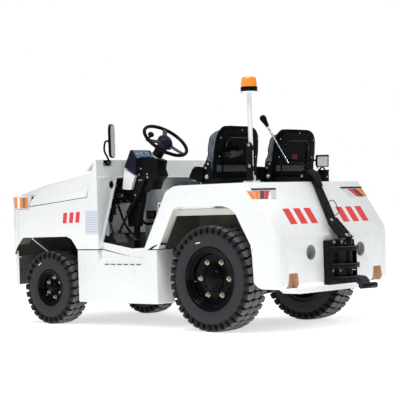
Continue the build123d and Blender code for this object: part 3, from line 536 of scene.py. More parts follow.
def aimed(start, toward):
    # matrix whose Z runs from start toward a second point
    way = (Vector(toward) - Vector(start)).normalized()
    return Matrix.Translation(start) @ way.to_track_quat("Z", "Y").to_matrix().to_4x4()


def along(start, toward):
    return (Vector(toward) - Vector(start)).length


def roundBar(name, start, end, radius, finish, edge=0.001, sides=24):
    length = along(start, end)
    edge = min(edge, radius * 0.5)
    face = radius - edge
    profile = [(0, 0), (face, 0), (radius, edge), (radius, length - edge), (face, length), (0, length)]
    return lathe(name, profile, finish, aimed(start, end), sides)


# ---- node trees that repeat a piece
def startTree(name, *inputs):
    # every tree takes the piece it repeats and the finish of the result
    inputs = (("Piece", "NodeSocketObject"), ("Finish", "NodeSocketMaterial"), *inputs)
    tree = bpy.data.node_groups.new(name, "GeometryNodeTree")
    tree.interface.new_socket("Geometry", in_out="INPUT", socket_type="NodeSocketGeometry")
    tree.interface.new_socket("Geometry", in_out="OUTPUT", socket_type="NodeSocketGeometry")
    for label, kind in inputs:
        tree.interface.new_socket(label, in_out="INPUT", socket_type=kind)
    return tree, tree.nodes.new("NodeGroupInput").outputs


def treeNode(tree, kind, settings=None, **links):
    made = tree.nodes.new(kind)
    for key, value in (settings or {}).items():
        setattr(made, key, value)
    for label, value in links.items():
        socket = made.inputs[label.replace("_", " ")]
        if hasattr(value, "is_linked"):
            tree.links.new(value, socket)
        else:
            socket.default_value = value
    return made


def endTree(tree, given, points, turn=None, size=None):
    shape = treeNode(tree, "GeometryNodeObjectInfo", Object=given["Piece"])
    copies = treeNode(tree, "GeometryNodeInstanceOnPoints", Points=points,
        Instance=shape.outputs["Geometry"])
    if turn is not None:
        tree.links.new(turn, copies.inputs["Rotation"])
    if size is not None:
        tree.links.new(size, copies.inputs["Scale"])
    whole = treeNode(tree, "GeometryNodeRealizeInstances", Geometry=copies.outputs["Instances"])
    dressed = treeNode(tree, "GeometryNodeSetMaterial", Geometry=whole.outputs[0], Material=given["Finish"])
    out = tree.nodes.new("NodeGroupOutput")
    tree.links.new(dressed.outputs["Geometry"], out.inputs[0])
    return tree


def spotsTree():
    # a copy at every point, turned and sized by the points' own values
    tree, given = startTree("copiesAtSpots")
    turn, size = (treeNode(tree, "GeometryNodeInputNamedAttribute", {"data_type": "FLOAT_VECTOR"},
        Name=name) for name in ("turn", "size"))
    euler = treeNode(tree, "FunctionNodeEulerToRotation", Euler=turn.outputs["Attribute"])
    return endTree(tree, given, given["Geometry"], euler.outputs["Rotation"], size.outputs["Attribute"])


def ringTree():
    # Count copies of a piece turned about Z, each at its own share of a full turn
    tree, given = startTree("copiesInRing", ("Count", "NodeSocketInt"))
    line = treeNode(tree, "GeometryNodeMeshLine", Count=given["Count"])
    line.inputs["Offset"].default_value = (0, 0, 0)
    index = tree.nodes.new("GeometryNodeInputIndex")
    share = treeNode(tree, "ShaderNodeMath", {"operation": "DIVIDE"})
    tree.links.new(index.outputs[0], share.inputs[0])
    tree.links.new(given["Count"], share.inputs[1])
    whole = treeNode(tree, "ShaderNodeMath", {"operation": "MULTIPLY"})
    tree.links.new(share.outputs[0], whole.inputs[0])
    whole.inputs[1].default_value = 2 * pi
    turn = treeNode(tree, "ShaderNodeCombineXYZ")
    tree.links.new(whole.outputs[0], turn.inputs["Z"])
    euler = treeNode(tree, "FunctionNodeEulerToRotation", Euler=turn.outputs[0])
    return endTree(tree, given, line.outputs["Mesh"], euler.outputs["Rotation"])


def rowTree():
    # Count copies of a piece, each one Step further on
    tree, given = startTree("copiesInRow", ("Count", "NodeSocketInt"), ("Step", "NodeSocketVector"))
    line = treeNode(tree, "GeometryNodeMeshLine", Count=given["Count"], Offset=given["Step"])
    return endTree(tree, given, line.outputs["Mesh"])


trees = {"spots": spotsTree(), "ring": ringTree(), "row": rowTree()}


def grow(name, tree, template, finish, points=None, **values):
    # runs a tree and keeps the result as a plain mesh; the template goes away
    mesh = bpy.data.meshes.new(name)
    spots = points or [((0, 0, 0), (0, 0, 0), 1)]
    mesh.from_pydata([spot[0] for spot in spots], [], [])
    turns = mesh.attributes.new("turn", "FLOAT_VECTOR", "POINT").data
    for item, spot in zip(turns, spots):
        item.vector = spot[1]
    sizes = mesh.attributes.new("size", "FLOAT_VECTOR", "POINT").data
    for item, spot in zip(sizes, spots):
        item.vector = (spot[2],) * 3
    host = newObject(name, mesh)
    modifier = host.modifiers.new("copies", "NODES")
    modifier.node_group = trees[tree]
    values.update(Piece=template, Finish=finishes[finish])
    for item in trees[tree].interface.items_tree:
        if item.in_out == "INPUT" and item.name in values:
            modifier[item.identifier] = values[item.name]
    made = settle(host)
    bpy.data.objects.remove(template)
    made.data.materials.clear()
    made.data.materials.append(finishes[finish])
    return made


def facing(normal, spin=0.0):
    # Euler turn that takes Z onto a normal
    turn = Vector(normal).normalized().to_track_quat("Z", "Y").to_matrix() @ Matrix.Rotation(spin, 3, "Z")
    return tuple(turn.to_euler())


def screwHead(radius, height):
    # hexagon head on its washer, standing on Z = 0
    washer, thick = radius * 1.35, height * 0.22
    profile = [(0, 0), (washer, 0), (washer, thick), (radius, thick), (radius, height * 0.9),
               (radius * 0.86, height), (0, height)]
    return lathe("head", profile, "steel", steps=6, smooth=30)


def domeHead():
    return lathe("dome", [(0, 0), (1, 0), (0.96, 0.22), (0.7, 0.4675), (0, 0.55)], "steel", steps=12)


def studs(name, spots, kind="hex", finish="steel"):
    # spots: (place, normal, radius); kind is hex or dome, and each head is turned a little further
    shape = screwHead(1.0, 0.9) if kind == "hex" else domeHead()
    rows = [(place, facing(normal, 0.35 * number), radius)
            for number, (place, normal, radius) in enumerate(spots)]
    return fit(grow(name, "spots", shape, finish, rows), "steel")


# ---- floor, light and camera
view = {"place": (-7.1713, 7.9439, 0.9051), "aim": (0.66797, -0.74417, 0.004829), "roll": -1.784,
    "lens": 122.88}


def makeCamera():
    data = bpy.data.cameras.new("camera")
    data.lens, data.sensor_width, data.clip_end = view["lens"], 36, 200
    camera = newObject("camera", data)
    turn = Vector(view["aim"]).to_track_quat("-Z", "Y").to_matrix() @ Matrix.Rotation(radians(view["roll"]),
        3, "Z")
    camera.matrix_world = Matrix.Translation(view["place"]) @ turn.to_4x4()
    bpy.context.scene.camera = camera


lightLook = {"sky": 0.42, "key": 485.0, "keyPlace": (-1.6, 3.2, 8.0), "keySize": 4.0,
             "rear": 34.0, "rearPlace": (-4.2, -4.6, 6.6), "rearSize": 0.7,
             "aim": (0, 0, 0.6), "floor": (0.93, 0.935, 0.94), "floorGlow": 0.62}


def lamp(name, power, place, size):
    data = bpy.data.lights.new(name, "AREA")
    data.energy, data.size, data.shape = power, size, "DISK"
    newObject(name, data).matrix_world = aimed(place, lightLook["aim"]) @ Matrix.Rotation(pi, 4, "X")


def makeStage():
    world = bpy.data.worlds.new("studio")
    bpy.context.scene.world = world
    world.use_nodes = True
    tree = world.node_tree
    tree.nodes.clear()
    path = tree.nodes.new("ShaderNodeLightPath")
    seen = tree.nodes.new("ShaderNodeMath")
    seen.operation = "MAXIMUM"
    tree.links.new(path.outputs["Is Camera Ray"], seen.inputs[0])
    tree.links.new(path.outputs["Is Transmission Ray"], seen.inputs[1])
    soft, white = tree.nodes.new("ShaderNodeBackground"), tree.nodes.new("ShaderNodeBackground")
    soft.inputs["Color"].default_value = (0.97, 0.985, 1, 1)
    soft.inputs["Strength"].default_value = lightLook["sky"]
    white.inputs["Color"].default_value = (1, 1, 1, 1)
    mix = tree.nodes.new("ShaderNodeMixShader")
    out = tree.nodes.new("ShaderNodeOutputWorld")
    tree.links.new(seen.outputs[0], mix.inputs[0])
    tree.links.new(soft.outputs[0], mix.inputs[1])
    tree.links.new(white.outputs[0], mix.inputs[2])
    tree.links.new(mix.outputs[0], out.inputs["Surface"])
    bm = bmesh.new()
    bmesh.ops.create_grid(bm, x_segments=2, y_segments=2, size=90)
    pale = Finish("paleFloor", lightLook["floor"], 0.9, Specular_IOR_Level=0.0)
    pale.put("Emission Color", (1, 1, 1, 1))
    pale.put("Emission Strength", lightLook["floorGlow"])
    finishes["floor"] = pale.material
    floor = addPiece("floor", bm, "floor", 0)
    lamp("key", lightLook["key"], lightLook["keyPlace"], lightLook["keySize"])
    lamp("rear", lightLook["rear"], lightLook["rearPlace"], lightLook["rearSize"])


makeCamera()
makeStage()
bpy.context.scene.view_settings.view_transform = "Standard"
print("stage ready")


# ---- body panels: CAD shapes with their edges rounded
def dress(finish, *nodes):
    for node in nodes:
        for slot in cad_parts[node].material_slots:
            slot.link = "OBJECT"
            slot.material = finishes[finish]


def panel(node, finish="white", width=0.004, segments=2, slotName="body_paint", body="chassis"):
    words = node.split("_")
    name = words[0] + "".join(word.title() for word in words[1:])
    return fit(softened(node, name, finish, width, segments, 38), slotName, node, body=body)


def makeRearBody():
    # arch walls behind the tyre carry a greyer undercoat, darkened as painted shade, the low pockets a tan
    # primer
    body = panel("rear_body", width=0.005, segments=3)
    archRear, tailRear, dimple = -1.102, -1.336, (0.298, 0.560)
    repaint(body, "arch", lambda at, n: at.z < 0.892 and 0.325 < abs(at.y) < 0.562
        and archRear < at.x < -0.2)
    repaint(body, "beige", lambda at, n: at.z < 0.875 and 0.562 <= abs(at.y) < 0.655
        and archRear < at.x < -0.06 and abs(n.y) < 0.6 and n.z < 0.6)
    repaint(body, "tan", lambda at, n: at.z < 0.428 and 0.425 < abs(at.y) < 0.585
        and tailRear < at.x < -1.26)
    # the round recesses in the tail are painted grey: painted shade
    repaint(body, "shade", lambda at, n: tailRear < at.x < -1.28
            and (abs(at.y) - dimple[0]) ** 2 + (at.z - dimple[1]) ** 2 < 0.0034)


archBand = {"rear": -0.93, "front": -0.335, "y": 0.602, "half": 0.002, "low": 0.842, "high": 0.888}


def makeArchBands():
    # the folded inner edge over each rear tyre
    look, bands = archBand, []
    for y in (look["y"], -look["y"]):
        bands.append(brick("band", (look["rear"], y - look["half"], look["low"]),
                           (look["front"], y + look["half"], look["high"]), "beige", 0.001))
    fit(merge("archBands", bands), "body_paint")


def makePanels():
    makeRearBody()
    makeArchBands()
    for side in ("left", "right"):
        panel("side_box_" + side, width=0.003)
        fender = panel("front_fender_" + side)
        # the fender's inside takes the dark arch finish: painted shade
        repaint(fender, "arch", lambda at, n: at.z < 0.86 and abs(n.y) < 0.5 and 0.62 < at.x < 1.34
                and abs(at.y) < 0.655)
        dress("cast", "knuckle_" + side)
    # the nose panel's rear faces take the dark arch finish: painted shade
    repaint(panel("nose_panel", width=0.003), "arch", lambda at, n: n.x < -0.5)
    panel("cowl")
    panel("column_cover", segments=3)
    panel("engine_cover", "inner", 0.005, 3, "inner_paint")
    base = panel("seat_base", "inner", slotName="inner_paint")
    # seat base faces turned to the rear or down take the dark arch finish: painted shade
    repaint(base, "arch", lambda at, n: n.x < -0.5 or n.z < -0.5)
    floor = panel("floor_pan", "inner", 0.002, slotName="inner_paint")
    repaint(floor, "mat", lambda at, n: abs(n.z) > 0.5)
    lid = panel("hood", slotName="hood_paint", body="hood_lid")
    repaint(lid, "inner", lambda at, n: n.z < -0.5)
    dress("black", "chassis_frame", "cross_beam_front", "cross_beam_rear", "front_axle", "rear_axle")
    dress("cast", "engine_block")


makePanels()
print("panels done")


# ---- wheels: a turned carcass, one lug repeated round it, and a dished rim
wheelLook = {"rear": {"centre": (-0.68, 0.542, 0.384), "radius": 0.384, "half": 0.104, "bead": 0.2163,
    "lugs": 38, "groove": 0.028, "seat": 0.2158, "lip": 0.233, "lipAt": 0.0995, "well": 0.196,
    "disc": 0.036, "hub": 0.092, "hubAt": 0.082, "nutRing": 0.135, "nut": 0.0135, "inner": -0.092,
    "bore": 0.0453, "cap": 0.070, "spin": 0}, "front": {"centre": (1.053, 0.536, 0.294), "radius": 0.294,
    "half": 0.086, "bead": 0.1343, "lugs": 29, "groove": 0.024, "seat": 0.1338, "lip": 0.146,
    "lipAt": 0.0815, "well": 0.118, "disc": 0.023, "hub": 0.052, "hubAt": 0.068, "nutRing": 0.080,
    "nut": 0.0115, "inner": -0.074, "bore": 0.0453, "cap": 0.036, "spin": 30}}


def wheelPlace(look):
    return Matrix.Translation(look["centre"]) @ Matrix.Rotation(-pi / 2, 4, "X")


def wornRubber(name, look):
    # lug tops turn paler with dust the farther they stand from the axle
    made = Finish(name, (0.02, 0.022, 0.024), 0.6, Specular_IOR_Level=0.22)
    offset = made.node("ShaderNodeVectorMath", {"operation": "SUBTRACT"},
        {0: made.place(), 1: look["centre"]})
    flat = made.node("ShaderNodeVectorMath", {"operation": "MULTIPLY"}, {0: offset, 1: (1, 0, 1)})
    reach = made.node("ShaderNodeVectorMath", {"operation": "LENGTH"}, {0: flat}, output="Value")
    top = reach.held(look["radius"] - 0.0085, look["radius"] - 0.006)
    deep = 1 - reach.held(look["radius"] - 0.027, look["radius"] - 0.012)
    grooveShadeLow = reach.held(look["radius"] - 0.062, look["radius"] - 0.055)
    mottle = made.grain(26, 8, rough=0.7).held(0.3, 0.75)
    side = made.blend(mottle * 0.4, (0.020, 0.0225, 0.0265), (0.045, 0.046, 0.046))
    # on the shoulder between the lug feet the rubber turns near black: painted shade in the grooves
    side = made.blend(deep * grooveShadeLow, side, (0.006, 0.0062, 0.0065))
    crown = made.blend(mottle, (0.085, 0.085, 0.082), (0.16, 0.156, 0.145))
    made.put("Base Color", made.blend(top, side, crown))
    made.put("Roughness", top * 0.2 + mottle * 0.15 + 0.48)
    made.relief(made.grain(190, 6) + made.grain(30, 3) * 0.7, 0.3, 0.0012)
    return made.material


def carcassProfile(look):
    # half of the section from the middle of the tread to the bead, then mirrored
    radius, half, bead = look["radius"], look["half"], look["bead"]
    wall = radius - bead
    floor = radius - look["groove"]
    side = [(floor, half - 0.020), (floor - 0.010, half - 0.016), (radius - wall * 0.30, half - 0.0105),
        (radius - wall * 0.37, half - 0.0045), (radius - wall * 0.42, half - 0.002),
        (radius - wall * 0.60, half - 0.0005), (bead + wall * 0.235, half - 0.001),
        (bead + wall * 0.225, half - 0.003), (bead + wall * 0.21, half - 0.003),
        (bead + wall * 0.20, half - 0.001), (look["lip"] + 0.008, half - 0.0015),
        (look["lip"] + 0.002, half - 0.007), (look["lip"] + 0.001, half - 0.0155), (bead, half - 0.0155)]
    flipped = [(r, -v) for r, v in reversed(side)]
    return [(floor, 0)] + side + [(bead, 0)] + flipped + [(floor, 0)]


def polar(u, v, r, radius, shift=0.0, side=1):
    angle = (u * side + shift) / radius
    return r * cos(angle), r * sin(angle), v * side


def lugTemplate(look):
    # a stepped block on each shoulder, half a pitch apart, with its foot down the sidewall
    radius, half = look["radius"], look["half"]
    pitch = 2 * pi * radius / look["lugs"]
    shoulder = ((1.0, -0.31), (1.0, 0.31), (0.70, 0.35), (0.50, 0.56), (0.36, 0.42), (0.38, -0.10),
        (0.50, -0.24), (0.70, -0.39))
    middle = ((0.24, -0.42), (0.30, 0.0), (0.22, 0.34), (0.0, 0.43), (-0.24, 0.42), (-0.30, 0.0),
        (-0.22, -0.34), (0.0, -0.43))
    bm = bmesh.new()
    foot = ((0.80, -0.018), (0.955, -0.0085), (0.993, -0.013), (0.9995, -0.040), (0.992, -0.056),
        (0.955, -0.066), (0.88, -0.066))
    for side, shift, outline in ((1, 0.0, shoulder), (-1, pitch / 2, shoulder), (1, pitch * 0.2, middle)):
        corners = [(half * v - 0.0035 * (v == 1.0), pitch * u) for v, u in outline]
        mid = (sum(v for v, u in corners) / len(corners), sum(u for v, u in corners) / len(corners))
        top = [polar(u, v, radius - 0.005 * (v / half) ** 2, radius, shift, side) for v, u in corners]
        low = [polar(mid[1] + (u - mid[1]) * 1.1, mid[0] + (v - mid[0]) * 1.02,
            radius - look["groove"] - 0.003, radius, shift, side) for v, u in corners]
        solidBlock(bm, top, low)
        if outline is shoulder:
            near, far = ([polar(way * pitch * (0.305 + r * 1.3), half * v, radius + r, radius, shift, side)
                          for v, r in foot] for way in (-1, 1))
            solidBlock(bm, near, far)
    bmesh.ops.recalc_face_normals(bm, faces=bm.faces)
    lug = addPiece("lug", bm, "tyre", 0)
    return rounded(lug, 0.0016, 2, 25)


def makeTyre(end, look):
    finishes[end + "Tyre"] = wornRubber(end + "TyreRubber", look)
    carcass = lathe("carcass", carcassProfile(look), end + "Tyre", steps=160, smooth=50)
    lugs = grow("lugs", "ring", lugTemplate(look), end + "Tyre", Count=look["lugs"])
    whole = crisp(moved(merge(end + "TyreLeft", [carcass, lugs]), wheelPlace(look)), 38)
    other = twin(whole, end + "TyreRight")
    fit(whole, "tyre", end + "_tyre_left", body=end + "_wheel_left")
    fit(other, "tyre", end + "_tyre_right", body=end + "_wheel_right")


def rimProfile(look):
    # from the bore over hub, disc, well and lip, and back along the inside
    lip, lipAt, well, disc, hub, hubAt, inner, bore, seat, cap = (look[key] for key in (
        "lip", "lipAt", "well", "disc", "hub", "hubAt", "inner", "bore", "seat", "cap"))
    return [(bore, disc - 0.006), (bore, hubAt - 0.03), (0, hubAt - 0.03), (0, hubAt - 0.004),
        (cap * 0.62, hubAt - 0.006), (cap * 0.9, hubAt - 0.012), (cap, hubAt - 0.018),
        (cap + 0.002, hubAt - 0.022), (hub - 0.006, hubAt - 0.024), (hub - 0.001, hubAt - 0.028),
        (hub, hubAt - 0.034), (hub, disc + 0.008), (hub + 0.005, disc + 0.002), (hub + 0.012, disc),
        (well - 0.026, disc), (well - 0.019, disc + 0.004), (well - 0.015, disc + 0.014),
        (well - 0.013, lipAt - 0.040), (well - 0.010, lipAt - 0.032), (well - 0.001, lipAt - 0.028),
        (well + 0.003, lipAt - 0.024), (well + 0.005, lipAt - 0.014), (well + 0.009, lipAt - 0.010),
        (lip - 0.022, lipAt - 0.008), (lip - 0.018, lipAt - 0.003), (lip - 0.012, lipAt),
        (lip - 0.004, lipAt), (lip - 0.001, lipAt - 0.003), (lip, lipAt - 0.006),
        (lip - 0.001, lipAt - 0.0095), (seat - 0.001, lipAt - 0.0105), (seat - 0.004, lipAt - 0.03),
        (seat - 0.008, inner + 0.03), (seat - 0.002, inner + 0.01), (seat, inner + 0.003),
        (seat - 0.006, inner), (seat - 0.018, inner + 0.004), (well - 0.004, inner + 0.03),
        (well - 0.018, disc - 0.012), (well - 0.04, disc - 0.009), (bore + 0.01, disc - 0.009),
        (bore, disc - 0.006)]


def wheelNuts(name, look):
    # six nuts on short studs, each with its washer
    nut = merge("nut", [lathe("washer", [(0, 0), (1.45, 0), (1.45, 0.2), (1.3, 0.3), (0, 0.3)], "zinc",
        steps=24), lathe("hex", [(0, 0.25), (1.0, 0.25), (1.06, 0.4), (1.06, 1.25), (0.88, 1.42),
        (0, 1.42)], "zinc", steps=6, smooth=30), lathe("stud",
        [(0, 1.3), (0.52, 1.3), (0.52, 1.9), (0.42, 2.0), (0, 2.0)], "zinc", steps=16)])
    size = look["nut"]
    moved(nut, Matrix.Translation((look["nutRing"], 0, look["disc"]))
        @ Matrix.Diagonal((size, size, size * 0.9, 1)))
    return grow(name, "ring", nut, "zinc", Count=6)


def hubDetails(look):
    # cap screws and a grease dimple on the hub
    hubAt = look["hubAt"]
    bolt = moved(screwHead(0.0048, 0.006), Matrix.Translation((look["hub"] - 0.011, 0, hubAt - 0.0245)))
    ring = grow("hubBolts", "ring", bolt, "gloss", Count=8)
    dimple = lathe("dimple", [(0, hubAt - 0.004), (0.007, hubAt - 0.004), (0.006, hubAt), (0, hubAt)],
        "gloss", steps=12)
    return merge("hubFace", [ring, dimple])


def makeRim(end, look):
    rim = lathe("rim", rimProfile(look), "gloss", steps=112, smooth=32)
    well, disc, place = look["well"], look["disc"], wheelPlace(look)
    valve = roundBar("valve", (well - 0.03, 0.02, disc), (well - 0.034, 0.02, disc + 0.035), 0.004, "zinc")
    whole = moved(merge(end + "RimLeft", [rim, hubDetails(look)]), place)
    spin = Matrix.Rotation(radians(look["spin"]), 4, "Z")
    nuts = moved(merge(end + "NutsLeft", [wheelNuts("nuts", look), valve]), place @ spin)
    whole.data.set_sharp_from_angle(angle=radians(32))
    otherRim, otherNuts = twin(whole, end + "RimRight"), twin(nuts, end + "NutsRight")
    for side, rims, nutSet in (("_left", whole, nuts), ("_right", otherRim, otherNuts)):
        fit(rims, "rim_paint", end + "_rim" + side, body=end + "_wheel" + side)
        fit(nutSet, "steel", body=end + "_wheel" + side)


for end, look in wheelLook.items():
    makeTyre(end, look)
    makeRim(end, look)
print("wheels done")


# ---- seats: pebbled pads on moulded shells
seatLook = {"corner": 0.095, "voxel": 0.0075, "swell": 0.022, "pressure": 4.0, "frames": 20,
            "shellLow": 1.0665, "shellDeep": 0.024, "channelDeep": 0.007, "channelWide": 0.006,
            "backPanel": 0.148, "backChannels": (1.18, 1.245, 1.31, 1.375),
            "seatPanel": 0.135, "seatChannels": (-0.50, -0.425, -0.35, -0.275), "pipe": 0.0042}
seatRows = {"driver": {"y": 0.350, "shift": 0.0, "rear": -0.066, "half": 0.235, "topHalf": 0.214,
                       "top": 1.483, "patch": 0.050, "patchUp": 1.286},
            "passenger": {"y": -0.332, "shift": -0.016, "rear": -0.066, "half": 0.247, "topHalf": 0.226,
                          "top": 1.472, "patch": 0.007, "patchUp": 1.262}}


def between(value, rows):
    # straight-line reading of a table of (place, value)
    if value <= rows[0][0]:
        return rows[0][1]
    for (a, x), (b, y) in zip(rows, rows[1:]):
        if value <= b:
            return x + (y - x) * (value - a) / (b - a)
    return rows[-1][1]


backRows = ((0.943, -0.674), (1.066, -0.676), (1.2, -0.680), (1.4, -0.712), (1.483, -0.724))
frontRows = ((0.943, -0.570), (1.10, -0.572), (1.22, -0.586), (1.41, -0.630), (1.483, -0.656))


def shellHalf(z, row):
    # half width of the back at a height, with round shoulders
    wide = between(z, ((0.995, 0.229), (1.015, row["half"]), (1.30, row["half"]),
                       (row["top"], row["topHalf"])))
    r = seatLook["corner"]
    into = z - (row["top"] - r)
    return wide - (r - sqrt(max(0.0, r * r - into * into))) if into > 0 else wide


def bump(distance, width):
    return max(0.0, 1.0 - (distance / width) ** 2) if abs(distance) < width else 0.0


def insetAt(across, z, row):
    # how far inside the moulded back panel's edge a point lies
    corner = 0.143 - max(0.0, z - (row["top"] - 0.123)) * 1.05
    return min(corner - abs(across), row["top"] - 0.087 - z)


def shellRelief(across, z, row):
    # how far the moulding stands out from its plain curve
    top = row["top"]
    inside = min(insetAt(across, z, row), (z - 1.165) * 0.8)
    out = 0.0045 * bump(inside, 0.006) if z > 1.2 else 0.0
    if inside > 0:
        out -= 0.011 * min(1.0, inside / 0.012)
    for line in (top - 0.049, top - 0.066):
        out -= 0.003 * bump(z - line, 0.0035) if abs(across) < 0.15 else 0.0
    for line in (1.147, 1.125, 1.104, 1.085):
        out += 0.0045 * bump(z - line, 0.0055) if -0.15 < across < 0.20 else 0.0
    if 1.152 < z < 1.200 and (abs(across - 0.010) < 0.145 or 0.168 < across < 0.222):
        out -= 0.006
    return out


def border(sheet):
    # the points round a grid's edge, in order
    return (sheet[0] + [line[-1] for line in sheet[1:]] + sheet[-1][-2::-1]
            + [line[0] for line in sheet[-2:0:-1]])


def makeShell(name, row):
    # a closed sheet: moulded back, rolled rim, plain inner face
    bm = bmesh.new()
    low, high, rows, columns = seatLook["shellLow"], row["top"] - 0.001, 116, 84
    grid = ([], [])
    for side in (0, 1):
        for i in range(rows + 1):
            z = low + (high - low) * i / rows
            wide = shellHalf(z, row)
            line = []
            for j in range(columns + 1):
                s = -1 + 2 * j / columns
                s = sin(s * pi / 2) * 0.35 + s * 0.65
                across = s * wide
                roll = 0.012 * abs(s) ** 9 + 0.010 * max(0.0, (z - high + 0.03) / 0.03) ** 2.5
                x = between(z, backRows) + row["rear"] + roll
                if side:
                    x += 0.012 + seatLook["shellDeep"]
                else:
                    x -= shellRelief(across, z, row) * (1 - abs(s) ** 12) - 0.012
                line.append(bm.verts.new((x, row["y"] + across, z)))
            grid[side].append(line)
    for side in (0, 1):
        for i in range(rows):
            for j in range(columns):
                a, b = grid[side][i], grid[side][i + 1]
                bm.faces.new((a[j], a[j + 1], b[j + 1], b[j]) if side else (a[j], b[j], b[j + 1], a[j + 1]))
    rim, mate = border(grid[0]), border(grid[1])
    for i in range(len(rim)):
        j = (i + 1) % len(rim)
        bm.faces.new((rim[i], rim[j], mate[j], mate[i]))
    bmesh.ops.recalc_face_normals(bm, faces=bm.faces)
    shell = addPiece(name, bm, "shell", 48)
    repaint(shell, "greyPlastic", lambda at, n: 1.154 < at.z < 1.199 and n.x < -0.7
            and (abs(at.y - row["y"] - 0.010) < 0.142 or 0.170 < at.y - row["y"] < 0.220))
    # the raised frame line round the back panel is painted pale grey: a painted highlight
    ridgeLow = max(1.30, row["top"] - 0.16)
    repaint(shell, "greyPlastic", lambda at, n: at.z > ridgeLow and n.x < -0.5
            and abs(insetAt(at.y - row["y"], at.z, row)) < 0.0035)
    return shell


def squared(*way):
    # a direction pulled out onto a box with soft corners
    size = sum(abs(part) ** 6 for part in way) ** (1 / 6)
    return [part / size for part in way]


def padForm(name, place):
    # a crowned closed form: a box grid pulled onto a soft box, then carried by place
    bm = bmesh.new()
    bmesh.ops.create_cube(bm, size=2)
    bmesh.ops.subdivide_edges(bm, edges=bm.edges, cuts=14, use_grid_fill=True)
    for vert in bm.verts:
        vert.co = place(*squared(*vert.co))
    bmesh.ops.recalc_face_normals(bm, faces=bm.faces)
    return addPiece(name, bm, "vinyl")


def backPad(name, row):
    low, high = 1.088, row["top"] - 0.005

    def place(a, b, c):
        z = (low + high) / 2 + b * (high - low) / 2
        rear = between(z, backRows) + row["rear"] - row["shift"] + 0.036
        front = between(z, frontRows) - 0.010
        bolster = 0.014 * max(0.0, abs(a) - 0.55) / 0.45
        reach = front + bolster - 0.010 * (1 - a * a) * (c > 0)
        x = (rear + reach) / 2 + c * (reach - rear) / 2
        taper = 0.024 * (c + 1) / 2
        wide = shellHalf(z - 0.03, row) - 0.001 - taper
        return x + row["shift"], row["y"] + a * wide, z - 0.4 * taper * max(0.0, b) ** 4
    return padForm(name, place)


def seatPad(name, row):
    def place(a, b, c):
        x = -0.3775 + b * 0.2 + row["shift"] / 4
        top = 1.072 - 0.020 * max(0.0, b) ** 3 + 0.010 * abs(a) ** 4
        low = 0.968
        wide = 0.214 - 0.006 * (1 - b * b)
        return x - 0.010 * (c < 0) * max(0, b), row["y"] + a * wide, (top + low) / 2 + c * (top - low) / 2
    return padForm(name, place)


def remeshed(pad):
    mod = pad.modifiers.new("even", "REMESH")
    mod.mode, mod.voxel_size, mod.use_smooth_shade = "VOXEL", seatLook["voxel"], True
    return settle(pad)


def inflate(pads):
    # air pressure swells every pad a little; holds keep the faces that rest on something
    rests = []
    for pad, hold in pads:
        rests.append([vert.co.copy() for vert in pad.data.vertices])
        cloth = pad.modifiers.new("swell", "CLOTH")
        cloth.settings.use_pressure = True
        cloth.settings.uniform_pressure_force = seatLook["pressure"]
        cloth.settings.quality = 4
        cloth.settings.effector_weights.gravity = 0
        cloth.collision_settings.use_collision = False
        cloth.point_cache.frame_start, cloth.point_cache.frame_end = 1, seatLook["frames"]
    for number in range(1, seatLook["frames"] + 1):
        bpy.context.scene.frame_set(number)
    graph = bpy.context.evaluated_depsgraph_get()
    for (pad, hold), rest in zip(pads, rests):
        swollen = pad.evaluated_get(graph).data
        spots = [vert.co.copy() for vert in swollen.vertices]
        pad.modifiers.clear()
        for vert, old, new in zip(pad.data.vertices, rest, spots):
            step = (new - old) * hold(old)
            if step.length > seatLook["swell"]:
                step.length = seatLook["swell"]
            vert.co = old + step
    bpy.context.scene.frame_set(1)


def finished(pad):
    smooth = pad.modifiers.new("fine", "SUBSURF")
    smooth.levels = smooth.render_levels = 1
    pad = settle(pad)
    pad.data.shade_smooth()
    return pad


def press(pad, reach):
    # reach gives the depth of the seams at a point; faces move in along their normals
    pad.data.update()
    moves = [(vert.index, reach(vert.co, vert.normal), vert.normal.copy()) for vert in pad.data.vertices]
    for index, depth, normal in moves:
        if depth:
            pad.data.vertices[index].co -= normal * depth


def groove(distance):
    return seatLook["channelDeep"] * max(0.0, 1 - abs(distance) / seatLook["channelWide"]) ** 1.5


def backSeams(row):
    def reach(at, normal):
        if normal.x < 0.2:
            return 0.0
        across = abs(at.y - row["y"])
        depth = groove(across - seatLook["backPanel"])
        if across < seatLook["backPanel"]:
            depth = max([depth] + [groove(at.z - z) for z in seatLook["backChannels"]])
        return depth
    return reach


def seatSeams(row):
    def reach(at, normal):
        if normal.z < 0.2:
            return 0.0
        across = abs(at.y - row["y"])
        depth = groove(across - seatLook["seatPanel"])
        if across < seatLook["seatPanel"]:
            depth = max([depth] + [groove(at.x - x) for x in seatLook["seatChannels"]])
        return depth
    return reach


def piping(name, pad, spots):
    # a sewn cord that follows the pad's own surface
    on = []
    for spot in spots:
        place, normal = pad.closest_point_on_mesh(spot)[1:3]
        on.append(place + normal * 0.0015)
    return tube(name, on, seatLook["pipe"], "vinyl", 8, True)


